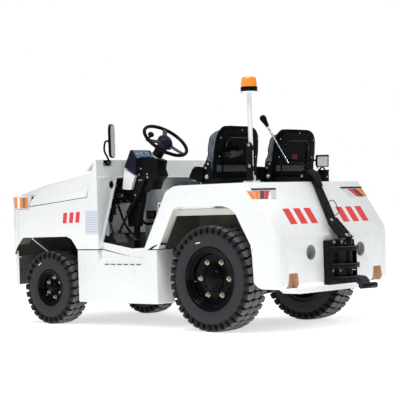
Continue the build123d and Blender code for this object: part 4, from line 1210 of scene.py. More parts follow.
def makePads():
    plan = []
    for name, row in seatRows.items():
        back, seat = remeshed(backPad("backPad" + name, row)), remeshed(seatPad("seatPad" + name, row))
        rear = row["rear"] + 0.052
        plan.append((back, lambda at, rear=rear: 0.1 if at.x < between(at.z, backRows) + rear else 1.0))
        plan.append((seat, lambda at: 0.15 if at.z < 0.985 or at.x < -0.565 else 1.0))
    inflate(plan)
    for number, (name, row) in enumerate(seatRows.items()):
        back, seat = finished(plan[number * 2][0]), finished(plan[number * 2 + 1][0])
        press(back, backSeams(row))
        press(seat, seatSeams(row))
        repaint(back, "bolster", lambda at, n: abs(at.y - row["y"]) > 0.150 or at.z > row["top"] - 0.07)
        ring, square = [], []
        for a in fullTurn(72):
            u, v = squared(cos(a), sin(a))
            z = 1.277 + v * (row["top"] - 1.30)
            wide = shellHalf(z, row) - 0.030
            ring.append((between(z, frontRows) + row["shift"], row["y"] + u * wide, z))
            square.append((-0.3775 + u * 0.205, row["y"] + v * 0.222, 1.080))
        edge, hem = piping("backPipe" + name, back, ring), piping("seatPipe" + name, seat, square)
        fit(back, "seat_vinyl")
        fit(edge, "seat_vinyl")
        fit(seat, "seat_vinyl", "seat_cushion_" + name)
        fit(hem, "seat_vinyl")


def shellPoint(row, across, z, out=0.0):
    x = between(z, backRows) + row["rear"] + 0.012 + 0.012 * abs(across / shellHalf(z, row)) ** 9
    return x - shellRelief(across, z, row) - out, row["y"] + across, z


def seatHardware(name, row):
    # recliner cover with its ribs, hinge plates, slides and the tray under the cushion
    parts = []
    middle, y, dx = row["y"], row["y"] + 0.247, row["shift"]
    cover = [(-0.500 + dx, 1.128), (-0.545 + dx, 1.188), (-0.560 + dx, 1.196), (-0.622 + dx, 1.190),
        (-0.632 + dx, 1.176), (-0.628 + dx, 1.105), (-0.604 + dx, 1.080), (-0.545 + dx, 1.098)]
    parts.append(prism("cover", cover, 0.040, "plastic", upright(y - 0.012), 0.005, 3))
    rib = brick("rib", (-0.003, 0, -0.052), (0.003, 0.008, 0.048), "plastic", 0.0015)
    spots = [((-0.520 + dx - 0.017 * i, y + 0.024, 1.152 if i > 1 else 1.142), (0, radians(-28), 0),
              1.0 - 0.04 * abs(i - 3)) for i in range(6)]
    parts.append(grow("ribs", "spots", rib, "plastic", spots))
    plate = [(-0.684 + dx, 1.225), (-0.650 + dx, 1.238), (-0.618 + dx, 1.200), (-0.600 + dx, 1.120),
        (-0.560 + dx, 1.070), (-0.545 + dx, 1.052), (-0.690 + dx, 1.052), (-0.692 + dx, 1.10)]
    for side in (1, -1):
        place = lambda a, b, c: (a, middle + side * (0.2405 + c), b)
        parts.append(prism("hingePlate", plate, 0.005, "black", place, 0.0012))
        slide = middle + side * 0.165
        parts.append(brick("slide", (-0.600, slide - 0.018, 0.946), (-0.19, slide + 0.018, 0.968), "black",
                           0.003))
    parts.append(brick("tray", (-0.655 + dx, middle - 0.205, 0.966), (-0.185, middle + 0.205, 0.982),
        "shell", 0.005))
    parts.append(brick("stand", (-0.742 + dx, middle - 0.235, 1.066), (-0.650 + dx, middle + 0.243, 1.106),
        "black", 0.004))
    fit(merge("seatHardware" + name, parts), "black_plastic")
    bolts = ((-0.638, 1.182, 0.0085), (-0.648, 1.118, 0.013), (-0.592, 1.073, 0.008),
        (-0.664, 1.211, 0.007))
    studs("seatBolts" + name, [((x + dx, middle + 0.246, z), (0, 1, 0), r) for x, z, r in bolts])
    screws = ((-0.02, row["top"] - 0.028), (0.205, 1.262), (-0.20, 1.262), (0.02, 1.094), (-0.205, 1.395),
              (0.205, 1.395))
    heads = [(shellPoint(row, across, z, -0.001), (-1, 0, 0.05), 0.0055) for across, z in screws]
    studs("shellScrews" + name, heads, "dome")


def makeSeats():
    makePads()
    for name, row in seatRows.items():
        fit(makeShell("seatShell" + name, row), "seat_shell", "seat_back_" + name)
        seatHardware(name, row)
        x, y, up = shellPoint(row, row["patch"], row["patchUp"])
        fit(brick("seatPatch" + name, (x - 0.0015, y - 0.033, up - 0.022),
            (x + 0.002, y + 0.033, up + 0.022), "patch", 0.001, turn=(0, -6, 0)), "seat_shell")


makeSeats()
print("seats done")


# ---- steering wheel, its column and the instrument box
steerLook = {"hub": (-0.011, 0.34, 1.416), "tilt": 41, "rim": 0.181, "grip": 0.0138,
    "spokes": (90, -38, -160), "knob": 86}


def steerPlace():
    return Matrix.Translation(steerLook["hub"]) @ Matrix.Rotation(radians(-steerLook["tilt"]), 4, "Y")


def steerRim():
    # slightly oval grip
    grip = steerLook["grip"]
    section = [(steerLook["rim"] + grip * cos(a), grip * 0.96 * sin(a)) for a in fullTurn(24)]
    return lathe("rim", section + [section[0]], "gloss", steps=120, smooth=60)


def spoke(angle):
    # rows: distance out, half width, half thickness and height of a section
    rows = ((0.030, 0.032, 0.010, -0.014), (0.052, 0.025, 0.009, -0.013), (0.085, 0.020, 0.0075, -0.010),
            (0.130, 0.0185, 0.007, -0.005), (0.165, 0.020, 0.007, -0.001), (0.181, 0.024, 0.008, 0.0))
    rings = [[(r, half * signed(cos(a), 0.6), drop + thick * signed(sin(a), 0.8)) for a in fullTurn(16)]
             for r, half, thick, drop in rows]
    return moved(skin("spoke", rings, "greyPlastic", 45), Matrix.Rotation(radians(angle), 4, "Z"))


def hubPad():
    # faceted horn pad: a rounded pentagon that narrows to its flat top
    corners = ((90, 0.060), (52, 0.056), (14, 0.060), (-38, 0.066), (-80, 0.056), (-120, 0.056),
        (-160, 0.066), (168, 0.060), (128, 0.056))
    outline = [(cos(radians(angle)) * reach, sin(radians(angle)) * reach) for angle, reach in corners]
    rings = [[(x * f, y * f, z) for x, y in outline]
             for f, z in ((0.80, -0.050), (1.06, -0.038), (1.12, -0.012), (1.02, 0.006), (0.66, 0.028))]
    return rounded(skin("hub", rings, "dashPlastic", 0), 0.0025, 2, 18)


def makeSteering():
    parts = [steerRim(), hubPad()] + [spoke(angle) for angle in steerLook["spokes"]]
    knob = lathe("knob", [(0, -0.004), (0.011, -0.004), (0.0115, 0.006), (0.009, 0.010), (0.0085, 0.024),
        (0.013, 0.030), (0.0205, 0.036), (0.0238, 0.044), (0.0232, 0.052), (0.0185, 0.060), (0.010, 0.0648),
        (0, 0.066)], "gloss", steps=32, smooth=60)
    clamp = brick("clamp", (0.168, -0.014, -0.013), (0.196, 0.014, 0.004), "gloss", 0.004)
    turn = Matrix.Rotation(radians(steerLook["knob"]), 4, "Z")
    parts += [moved(knob, turn @ Matrix.Translation((steerLook["rim"], 0, 0))), moved(clamp, turn)]
    wheel = crisp(moved(merge("steeringWheel", parts), steerPlace()), 42)
    fit(wheel, "black_plastic", "steering_wheel", body="hand_wheel")


def columnPoint(down, across=0.0, ahead=0.0):
    return steerPlace() @ Vector((ahead, across, -down))


def makeColumn():
    bracket = trimmed(softened("steering_column", "bracket", "black", 0.003, 2, 38), (0, 0, 0.955),
        (0, 0, -1))
    bracket = trimmed(bracket, (0.344, 0, 0), (1, 0, 0))
    post = [(0.215, 0.965), (0.330, 0.965), (0.372, 0.850), (0.368, 0.765), (0.262, 0.765), (0.246, 0.860)]
    parts = [bracket, prism("post", post, 0.060, "black", upright(0.335), 0.004),
             brick("foot", (0.285, 0.340, 0.560), (0.320, 0.380, 0.780), "black", 0.004),
             brick("stay", (0.325, 0.325, 1.088), (0.4296, 0.385, 1.118), "black", 0.003)]
    fit(merge("steeringColumn", parts), "black_paint", "steering_column")
    place = steerPlace()
    shroud = lathe("shroud", [(0.024, -0.052), (0.036, -0.054), (0.041, -0.060), (0.0435, -0.075),
        (0.0425, -0.118), (0.039, -0.136), (0.030, -0.142), (0.024, -0.142), (0.024, -0.052)], "plastic",
        place, 28, 50)
    collar = lathe("collar", [(0.0235, -0.138), (0.044, -0.138), (0.047, -0.143), (0.047, -0.152),
        (0.043, -0.158), (0.0235, -0.158), (0.0235, -0.138)], "steel", place, 32, 40)
    boot = lathe("joint", [(0.0225, -0.170), (0.031, -0.170), (0.034, -0.180), (0.030, -0.196),
        (0.0225, -0.198), (0.0225, -0.170)], "cast", place, 24, 40)
    fit(merge("columnShroud", [shroud, boot]), "black_plastic")
    fit(collar, "steel")
    stalk = [columnPoint(0.120, -0.030), columnPoint(0.116, -0.060, -0.005),
        columnPoint(0.120, -0.100, -0.02), columnPoint(0.112, -0.150, -0.035)]
    knob = roundBar("stalkTip", stalk[-1], columnPoint(0.108, -0.178, -0.043), 0.0075, "plastic", 0.003, 16)
    wire = tube("keyWire", [columnPoint(0.150, -0.035), columnPoint(0.165, -0.052, 0.01),
        columnPoint(0.19, -0.05, 0.02), columnPoint(0.21, -0.035, 0.02)], 0.003, "hose", 8)
    fit(merge("stalk", [tube("stalkRod", stalk, 0.0035, "black", 8), knob, wire]), "black_plastic")
    bolts = ((0.205, 1.212, 0.010), (0.240, 1.197, 0.010), (0.226, 1.168, 0.0085), (0.140, 1.168, 0.0085),
             (0.136, 1.143, 0.010), (0.222, 1.124, 0.0085), (0.200, 1.124, 0.0075), (0.290, 1.085, 0.0085),
             (0.205, 1.068, 0.0085), (0.275, 1.010, 0.0085))
    studs("bracketBolts", [((x, 0.3995, z), (0, 1, 0), r * 0.7) for x, z, r in bolts])
    makeStrut()


def makeStrut():
    # gas strut beside the column, its ends in ribbed rubber
    folds = [(0.0205 + 0.0022 * (k % 2), 0.010 + 0.006 * k) for k in range(12)]
    boot = [(0, 0), (0.014, 0), (0.019, 0.006), *folds, (0.020, 0.084), (0.012, 0.090), (0, 0.090)]
    ribs = [(0, 0)] + [(0.0085 + 0.0014 * (k % 2), 0.006 * k) for k in range(25)] + [(0, 0.146)]
    parts = [roundBar("strutTube", (0.150, 0.418, 1.120), (0.284, 0.424, 0.926), 0.013, "black"),
        lathe("strutBoot", boot, "plastic", aimed((0.278, 0.424, 0.936), (0.336, 0.427, 0.858)), 24, 50),
        lathe("strutRod", ribs, "dashPlastic", aimed((0.330, 0.426, 0.866), (0.424, 0.430, 0.735)), 16, 50),
        roundBar("strutEye", (0.428, 0.418, 0.731), (0.428, 0.444, 0.731), 0.013, "black")]
    fit(merge("columnStrut", parts), "black_paint")
    bolt = roundBar("strutBolt", (0.428, 0.444, 0.731), (0.428, 0.450, 0.731), 0.006, "steel", 0.001, 12)
    fit(bolt, "steel")


dashLook = {"rear": (0.215, 1.289), "top": (0.270, 1.364), "glass": (0.247, 0.418, 0.010, 0.083),
            "gauges": ((0.290, 0.024), (0.350, 0.024), (0.396, 0.014)), "gaugeUp": 0.046, "ticks": 16}


def dashPoint(a, b, c):
    # a runs across the sloping face, b up it, c out of it
    rear, top = dashLook["rear"], dashLook["top"]
    way = Vector((top[0] - rear[0], 0, top[1] - rear[1])).normalized()
    out = Vector((-way.z, 0, way.x))
    return Vector((rear[0], a, rear[1])) + way * b + out * c


def makeDash():
    box = trimmed(softened("instrument_box", "instrumentBox", "dashPlastic", 0.004, 3, 38), (0.3455, 0, 0),
        (1, 0, 0))
    fit(box, "black_plastic", "instrument_box")
    left, right, low, high = dashLook["glass"]
    cover = prism("dashGlass", [(left, low), (right, low), (right, high), (left, high)], 0.003, "dial",
                  lambda a, b, c: dashPoint(a, b, c - 0.004), 0.001)
    gauges = []
    for middle, radius in dashLook["gauges"]:
        at = aimed(dashPoint(middle, dashLook["gaugeUp"], 0), dashPoint(middle, dashLook["gaugeUp"], 1))
        bore, face = radius - 0.0015, radius - 0.003
        bezel = [(bore, 0), (radius, 0), (radius, 0.002), (bore, 0.002), (bore, 0)]
        tick = brick("tick", (-0.0007, radius - 0.0085, 0.001), (0.0007, radius - 0.0045, 0.0016), "ink", 0)
        needle = brick("needle", (-0.0009, -0.002, 0.0016), (0.0009, radius - 0.009, 0.0024), "ink", 0)
        gauges += [lathe("bezel", bezel, "greyPlastic", at, 32),
            lathe("face", [(0, 0), (face, 0), (face, 0.001), (0, 0.001)], "dial", at, 32),
            moved(grow("ticks", "ring", tick, "ink", Count=dashLook["ticks"]), at), moved(needle, at)]
    fit(cover, "black_plastic")
    fit(merge("gauges", gauges), "black_plastic")


makeSteering()
makeColumn()
makeDash()
print("steering done")


# ---- pieces on the sloping tail
tailLook = {"out": (-0.828, 0.0, 0.561), "lensTop": 1.002, "lensLow": 0.944, "lensThick": 0.0035,
    "lampSide": 0.6602, "segments": (("amber", 0.656, 0.633, 0.657, 0.654),
    ("amber", 0.628, 0.576, 0.656, 0.628), ("crimson", 0.570, 0.524, 0.622, 0.581),
    ("red", 0.519, 0.468, 0.576, 0.535), ("clear", 0.460, 0.396, 0.500, 0.442)),
    "bars": ((0.440, 0.365), (0.320, 0.245), (0.200, 0.125), (-0.185, -0.260), (-0.305, -0.380),
    (-0.425, -0.500)), "barTop": 0.872, "barLow": 0.762,
    "sideBars": ((0.815, 0.889), (0.742, 0.891), (0.669, 0.893)), "side": 0.6595}


def slopeAt(y, z, off=0.0):
    return Vector((-1.077 - (1.063 - z) / 1.4753, y, z)) + Vector(tailLook["out"]) * off


def slab(name, points, way, finish, edge=0.001, segments=2):
    # flat outline given by its points, thickened along way
    corners, way = [Vector(point) for point in points], Vector(way)
    place = lambda a, b, c: corners[a] + way * c
    return prism(name, [(i, 0) for i in range(len(points))], 1.0, finish, place, edge, segments)


def slopeSlab(name, spots, off, thick, finish, edge=0.001):
    return slab(name, [slopeAt(y, z, off) for y, z in spots], Vector(tailLook["out"]) * thick, finish, edge)


def makeTailLamps():
    top, low, thick = tailLook["lensTop"], tailLook["lensLow"], tailLook["lensThick"]
    parts = [softened("tail_lamp_left", "tailLampShell", "blush", 0.002)]
    for finish, a, b, c, d in tailLook["segments"]:
        parts.append(slopeSlab("lensSegment", [(a, top), (b, top), (d, low), (c, low)], 0.0, thick, finish,
            0.0012))
    wrap = ((-1.119, 1.001), (-1.156, 0.946), (-1.118, 0.945), (-1.072, 1.003))
    parts.append(slab("lensWrap", [(x, tailLook["lampSide"], z) for x, z in wrap], (0, 0.0022, 0), "amber",
        0.0012))
    parts.append(slopeSlab("hood", [(0.659, 1.018), (0.388, 1.018), (0.388, 1.009), (0.659, 1.009)], 0.0,
        0.005, "plastic"))
    lamp = merge("tailLampLeft", parts)
    other = twin(lamp, "tailLampRight")
    fit(lamp, "lamp_lens", "tail_lamp_left")
    fit(other, "lamp_lens", "tail_lamp_right")


def makeTailBars():
    # blank bars of red paint, broken where the lever passes, and slanted ones on the fender
    top, low, y = tailLook["barTop"], tailLook["barLow"], tailLook["side"]
    parts = [slopeSlab("bar", [(a, top), (b, top), (b, low), (a, low)], -0.0008, 0.0016, "redPaint", 0)
             for a, b in tailLook["bars"]]
    fit(merge("tailBars", parts), "body_paint")
    side = [slab("bar", [(x, y, z), (x - 0.044, y, z), (x - 0.030, y, z - 0.083),
        (x + 0.014, y, z - 0.083)], (0, 0.0013, 0), "redPaint", 0) for x, z in tailLook["sideBars"]]
    fit(merge("sideBars", side), "body_paint")


hitchLook = {"face": -1.3905, "pin": -1.452, "lips": (0.376, 0.468, 0.590), "lipReach": (0.1085, 0.149)}


def makeHitch():
    fit(softened("hitch_block", "hitchBlock", "black", 0.0025), "cast_metal", "hitch_block")
    face, pinX = hitchLook["face"], hitchLook["pin"]
    cheek = [(face, 0.600), (face - 0.020, 0.585), (face - 0.020, 0.350), (face, 0.345)]
    parts = [slab("cheek", [(x, y - 0.006, z) for x, z in cheek], (0, 0.012, 0), "black", 0.002)
             for y in (-0.148, 0.148)]
    hook = ((-1.402, 0.350), (-1.414, 0.366), (-1.448, 0.376), (-1.482, 0.369), (-1.506, 0.347),
        (-1.5165, 0.318), (-1.506, 0.290), (-1.490, 0.300), (-1.468, 0.328), (-1.436, 0.344),
        (-1.410, 0.336))
    parts.append(slab("hook", [(x, -0.165, z) for x, z in hook], (0, 0.102, 0), "hook", 0.005, 3))
    # thin grey lines along the jaws' upper edges
    deep, wide = hitchLook["lipReach"]
    for z in hitchLook["lips"]:
        lip = [(face - deep * sin(pi * i / 24), wide * cos(pi * i / 24), z) for i in range(25)]
        parts.append(tube("wear", lip, 0.0026, "greyPlastic", 8))
    fit(merge("hitchDetails", parts), "cast_metal")
    bolts = ((0.099, 0.622, 0.0115), (0.010, 0.622, 0.0115), (-0.095, 0.622, 0.011), (0.125, 0.421, 0.010),
             (0.036, 0.418, 0.010), (-0.054, 0.414, 0.010))
    studs("hitchBolts", [((face - 0.001, y, z), (-1, 0, 0), r) for y, z, r in bolts], finish="zinc")
    x = face - 0.012
    parts = [roundBar("lockPin", (x, -0.085, 0.420), (x, -0.147, 0.416), 0.0055, "zinc", 0.001, 12),
             lathe("lockHead", [(0, 0), (0.010, 0), (0.010, 0.006), (0, 0.006)], "zinc",
                   aimed((x, -0.082, 0.4202), (x, -0.2, 0.414)), 16),
             roundBar("shim", (x + 0.008, -0.036, 0.610), (x + 0.003, -0.036, 0.610), 0.006, "zinc", 0.001,
                      12)]
    fit(merge("lockPins", parts), "steel")
    pin = [(0, 0.341), (0.012, 0.341), (0.0185, 0.349), (0.0198, 0.352), (0.0198, 0.638), (0.022, 0.6402),
        (0.0245, 0.643), (0.025, 0.648), (0.0245, 0.656), (0.020, 0.6595), (0, 0.660)]
    fit(lathe("towPin", pin, "black", Matrix.Translation((pinX, 0, 0)), 40, 40), "steel", "hitch_pin",
        body="tow_pin")
    ring = [(pinX + 0.015 * cos(a), 0.0, 0.668 + 0.014 * sin(a)) for a in fullTurn(20)]
    fit(tube("pinRing", ring, 0.003, "steel", 8, True), "steel", body="tow_pin")


leverLook = {"armOff": 0.030, "knuckleOff": 0.042, "coil": 0.0078, "turns": 10, "wire": 0.0032,
    "rodY": -0.052}


def leverArms():
    off = leverLook["armOff"]
    parts = [slopeSlab("upperArm", [(-0.064, 1.060), (-0.126, 1.060), (-0.058, 0.782), (-0.020, 0.750),
        (0.024, 0.750), (0.026, 0.775)], off, 0.008, "black", 0.002)]
    for a, b in (((-0.064, 1.060), (0.026, 0.775)), ((-0.126, 1.060), (-0.058, 0.782))):
        parts.append(slopeSlab("flange", [a, (a[0] - 0.005, a[1]), (b[0] - 0.005, b[1]), b], 0.012,
            off - 0.012, "black", 0.001))
    off = leverLook["knuckleOff"]
    parts.append(slopeSlab("lowerArm", [(0.092, 0.726), (0.074, 0.752), (0.040, 0.772), (-0.010, 0.778),
        (-0.040, 0.768), (-0.098, 0.626), (-0.098, 0.622), (0.052, 0.622)], off, 0.009, "black", 0.002))
    parts.append(slopeSlab("lowerRib", [(-0.040, 0.768), (-0.046, 0.766), (-0.104, 0.622), (-0.098, 0.622)],
        0.012, off, "black", 0.001))
    parts.append(slopeSlab("edgeLine", [(0.002, 0.746), (-0.001, 0.746), (-0.068, 0.630), (-0.065, 0.630)],
        off + 0.009, 0.0012, "greyPlastic", 0))
    return parts


def makeLever():
    parts = leverArms()
    hump = [(-0.960, 1.0634), (-0.962, 1.135), (-0.975, 1.147), (-1.000, 1.153), (-1.048, 1.152),
        (-1.076, 1.138), (-1.108, 1.100), (-1.108, 1.0634)]
    parts.append(slab("hump", [(x, -0.165, z) for x, z in hump], (0, 0.080, 0), "black", 0.009, 4))
    tail = [(-1.040, 1.154), (-1.082, 1.140), (-1.120, 1.106), (-1.160, 1.030), (-1.144, 1.022),
        (-1.100, 1.098), (-1.070, 1.126)]
    parts.append(slab("bend", [(x, -0.112, z) for x, z in tail], (0, 0.072, 0), "black", 0.004, 3))
    fit(merge("leverArms", parts), "black_paint", "release_lever")
    makeLeverRod()
    loop = ((-0.058, 0.881), (-0.090, 0.890), (-0.112, 0.896), (-0.128, 0.896), (-0.138, 0.884),
        (-0.136, 0.860), (-0.129, 0.832), (-0.122, 0.812), (-0.106, 0.801), (-0.084, 0.794),
        (-0.050, 0.785))
    wire = [slopeAt(y, z, 0.048) for y, z in loop]
    fit(tube("leverHandle", wire, leverLook["wire"], "black", 8), "black_paint")
    out, off = tailLook["out"], leverLook["knuckleOff"] + 0.009
    studs("leverPivot", [(slopeAt(0.030, 0.752, off), out, 0.0135)], "dome", "copper")
    studs("leverBolts", [(slopeAt(-0.040, 0.640, off), out, 0.011),
        ((-0.985, -0.1655, 1.108), (0, -1, 0), 0.010), ((-0.985, -0.0845, 1.108), (0, 1, 0), 0.010)])


def makeLeverRod():
    # bent foot, bright rod with a coil near its end, and the knob
    y = leverLook["rodY"]
    foot = tube("leverFoot", [(-1.056, -0.096, 1.146), (-1.040, -0.080, 1.168), (-1.030, y, 1.196),
        (-1.008, y, 1.205), (-0.960, y, 1.207), (-0.905, y, 1.206), (-0.890, y, 1.208)], 0.0056, "cast")
    rod = tube("leverRod", [(-0.893, y, 1.207), (-0.886, y, 1.211), (-0.876, y, 1.226), (-0.700, y, 1.494)],
        0.0050, "chrome")
    start, end = Vector((-0.752, y, 1.415)), Vector((-0.697, y, 1.499))
    at, radius, steps = aimed(start, end), leverLook["coil"], leverLook["turns"] * 12
    turns = [at @ Vector((radius * cos(pi * i / 6), radius * sin(pi * i / 6),
        along(start, end) * i / steps)) for i in range(steps + 1)]
    coil = tube("leverCoil", turns, 0.0021, "chrome", 6)
    fit(merge("leverRods", [foot, rod, coil]), "steel")
    knob = [(0, 0.0), (0.0125, 0.0), (0.0145, 0.004), (0.0150, 0.014), (0.0170, 0.030), (0.0205, 0.048),
        (0.0245, 0.064), (0.0262, 0.076), (0.0240, 0.088), (0.0165, 0.096), (0.007, 0.0988), (0, 0.099)]
    fit(lathe("leverKnob", knob, "gloss", aimed((-0.7005, y, 1.493), (-0.6365, y, 1.590)), 36, 60),
        "black_plastic")


makeTailLamps()
makeTailBars()
makeHitch()
makeLever()
print("tail done")


# ---- lamps, mirror, pole and belt
cornerLook = {"low": 0.936, "high": 1.022, "thick": 0.0016, "side": 0.6602, "front": 1.4962,
              "alongSide": (("amber", 1.232, 1.268), ("smoke", 1.270, 1.296), ("amber", 1.298, 1.332),
                            ("blush", 1.334, 1.366), ("amber", 1.368, 1.400)),
              "acrossFront": (("amber", 0.520, 0.555), ("smoke", 0.482, 0.512))}


def makeCornerLamp(side, sign):
    # strips of colour stand on the clear lens, along the side and round the front
    name, node = "cornerLamp" + side.title(), "corner_lamp_" + side
    low, high, thick = cornerLook["low"], cornerLook["high"], cornerLook["thick"]
    parts = [softened(node, name, "clear", 0.0025)]
    for finish, start, end in cornerLook["alongSide"]:
        y = cornerLook["side"] * sign
        parts.append(slab("strip", [(start, y, low), (end, y, low), (end, y, high), (start, y, high)],
                          (0, thick * sign, 0), finish, 0.0008))
    for finish, start, end in cornerLook["acrossFront"]:
        x, a, b = cornerLook["front"], start * sign, end * sign
        parts.append(slab("strip", [(x, a, low), (x, b, low), (x, b, high), (x, a, high)], (thick, 0, 0),
            finish, 0.0008))
    fit(merge(name, parts), "lamp_lens", node)


workLook = {"place": (-1.015, -0.300, 1.218), "turn": 142, "tilt": 9, "wide": 0.092, "high": 0.086,
    "cell": 0.0245}


def makeWorkLamp():
    # faceted reflector behind a clear lens, in a finned case under a visor; X is the way it shines
    at = (Matrix.Translation(workLook["place"]) @ Matrix.Rotation(radians(workLook["turn"]), 4, "Z")
          @ Matrix.Rotation(radians(workLook["tilt"]), 4, "Y"))
    w, h = workLook["wide"] / 2, workLook["high"] / 2
    parts = [brick("case", (-0.030, -w, -h), (0.012, w, h), "plastic", 0.010, 4)]
    fin = brick("fin", (-0.040, -0.0012, -h + 0.010), (-0.028, 0.0012, h - 0.010), "plastic", 0.0008)
    parts.append(grow("fins", "row", fin, "plastic", Count=9, Step=(0, 0.008, 0)))
    for vert in parts[-1].data.vertices:
        vert.co.y -= 0.032
    for low, high in (((0.010, -w, -h), (0.019, -w + 0.006, h)), ((0.010, w - 0.006, -h), (0.019, w, h)),
                      ((0.010, -w, -h), (0.019, w, -h + 0.006)), ((0.010, -w, h - 0.006), (0.019, w, h))):
        parts.append(brick("rim", low, high, "plastic", 0.002))
    visor = [(-0.010, h - 0.002), (0.030, h + 0.001), (0.036, h + 0.003), (0.036, h + 0.006),
        (-0.010, h + 0.004)]
    parts.append(prism("visor", visor, 2 * w, "plastic", lambda a, b, c: (a, -w + c, b), 0.001))
    cells = [((0.0125, workLook["cell"] * i, 0.0225 * j), (0, radians(90), 0), 1.0)
             for i in (-1, 0, 1) for j in (-1, 0, 1)]
    cup = [(0.0112, 0.0), (0.0122, 0.0032), (0.0112, 0.0036), (0.006, 0.0010), (0.0022, 0.0004),
        (0, 0.0022)]
    parts.append(grow("cups", "spots", lathe("cup", cup, "clear", steps=8, smooth=0), "clear", cells))
    parts.append(brick("pane", (0.0115, -w + 0.005, -h + 0.005), (0.0145, w - 0.005, h - 0.005), "clear",
        0.0006))
    head = moved(merge("head", parts), at)
    x, y, z = workLook["place"]
    stay = [roundBar("arm", (x + 0.018, y + 0.020, z + 0.006), (x + 0.300, y + 0.030, z + 0.022), 0.0075,
        "black", 0.001, 12), slab("yoke", [(x - 0.004, y - 0.006, z - 0.040),
        (x + 0.004, y + 0.010, z - 0.040), (x + 0.022, y + 0.030, 1.149), (x + 0.010, y + 0.014, 1.149)],
        (-0.006, 0.008, 0), "black", 0.001), slab("yoke", [(x - 0.010, y - 0.004, z - 0.042),
        (x + 0.000, y - 0.004, z - 0.042), (x - 0.018, y - 0.012, 1.149), (x - 0.026, y - 0.012, 1.149)],
        (0.004, 0.008, 0), "black", 0.001), brick("relayBox", (x - 0.045, y - 0.021, 1.0634),
        (x + 0.015, y + 0.039, 1.146), "plastic", 0.004, 3),
        brick("relayLid", (x - 0.048, y - 0.024, 1.140), (x + 0.018, y + 0.042, 1.152), "plastic", 0.003)]
    fit(merge("workLamp", [head] + stay), "black_plastic", "work_lamp")
    studs("workLampBolts", [((x + 0.02, y + 0.033, 1.17), (0, 1, 0), 0.006),
                            ((x - 0.046, y + 0.01, 1.10), (-1, 0, 0), 0.005)])


mirrorLook = {"place": (0.347, 0.570, 1.430), "turn": 30, "wide": 0.130, "high": 0.260, "deep": 0.026}


def mirrorOutline(w, h):
    # a tall rectangle with soft corners
    return [(w * signed(cos(a), 0.42), h * signed(sin(a), 0.30)) for a in fullTurn(56, 0.5)]


def makeMirror():
    at = Matrix.Translation(mirrorLook["place"]) @ Matrix.Rotation(radians(mirrorLook["turn"]), 4, "Z")
    w, h, d = mirrorLook["wide"] / 2, mirrorLook["high"] / 2, mirrorLook["deep"] / 2
    case = skin("case", [[(x, *point) for point in mirrorOutline(w + more, h + more)] for x, more in (
        (-d, -0.004), (-d + 0.004, 0.0), (0.0, 0.0), (d * 0.55, -0.007), (d, -0.024))], "plastic", 50)
    glass = prism("pane", mirrorOutline(w - 0.008, h - 0.008), 0.0012, "mirror",
                  lambda a, b, c: (-d - 0.0006 + c, a, b), 0)
    ball = lathe("socket", [(0, 0), (0.016, 0), (0.018, 0.004), (0.014, 0.014), (0.010, 0.018), (0, 0.018)],
        "plastic", aimed((d - 0.004, 0, 0), (1, 0, 0)), 24, 50)
    fit(moved(merge("mirrorHead", [case, glass, ball]), at), "mirror", "mirror_head")
    x, y = 0.4225, 0.570
    arm = [tube("stay", [(x - 0.004, y - 0.040, 1.262), (x - 0.004, y - 0.040, 1.282),
        (x - 0.001, y - 0.022, 1.318), (x, y + 0.003, 1.350), (x, y + 0.005, 1.385), (x, y - 0.006, 1.425),
        (x - 0.014, y - 0.004, 1.434), (x - 0.040, y, 1.432), (x - 0.062, y + 0.002, 1.430)], 0.0075,
        "black", 14), brick("bracket", (0.4222, 0.507, 1.243), (0.4297, 0.582, 1.287), "black", 0.002),
        brick("strap", (0.4145, y - 0.062, 1.262), (0.4235, y - 0.018, 1.276), "black", 0.002)]
    fit(merge("mirrorArm", arm), "black_paint", "mirror_arm")
    bolts = ((0.4222, 0.516, 1.254, 0.006), (0.4222, 0.574, 1.254, 0.006), (0.4145, 0.5155, 1.269, 0.005),
             (0.4145, 0.547, 1.269, 0.005))
    studs("mirrorBolts", [((x, y, z), (-1, 0, 0), r) for x, y, z, r in bolts])


poleLook = {"place": (-0.850, 0.333), "radius": 0.0168, "ribs": 36}


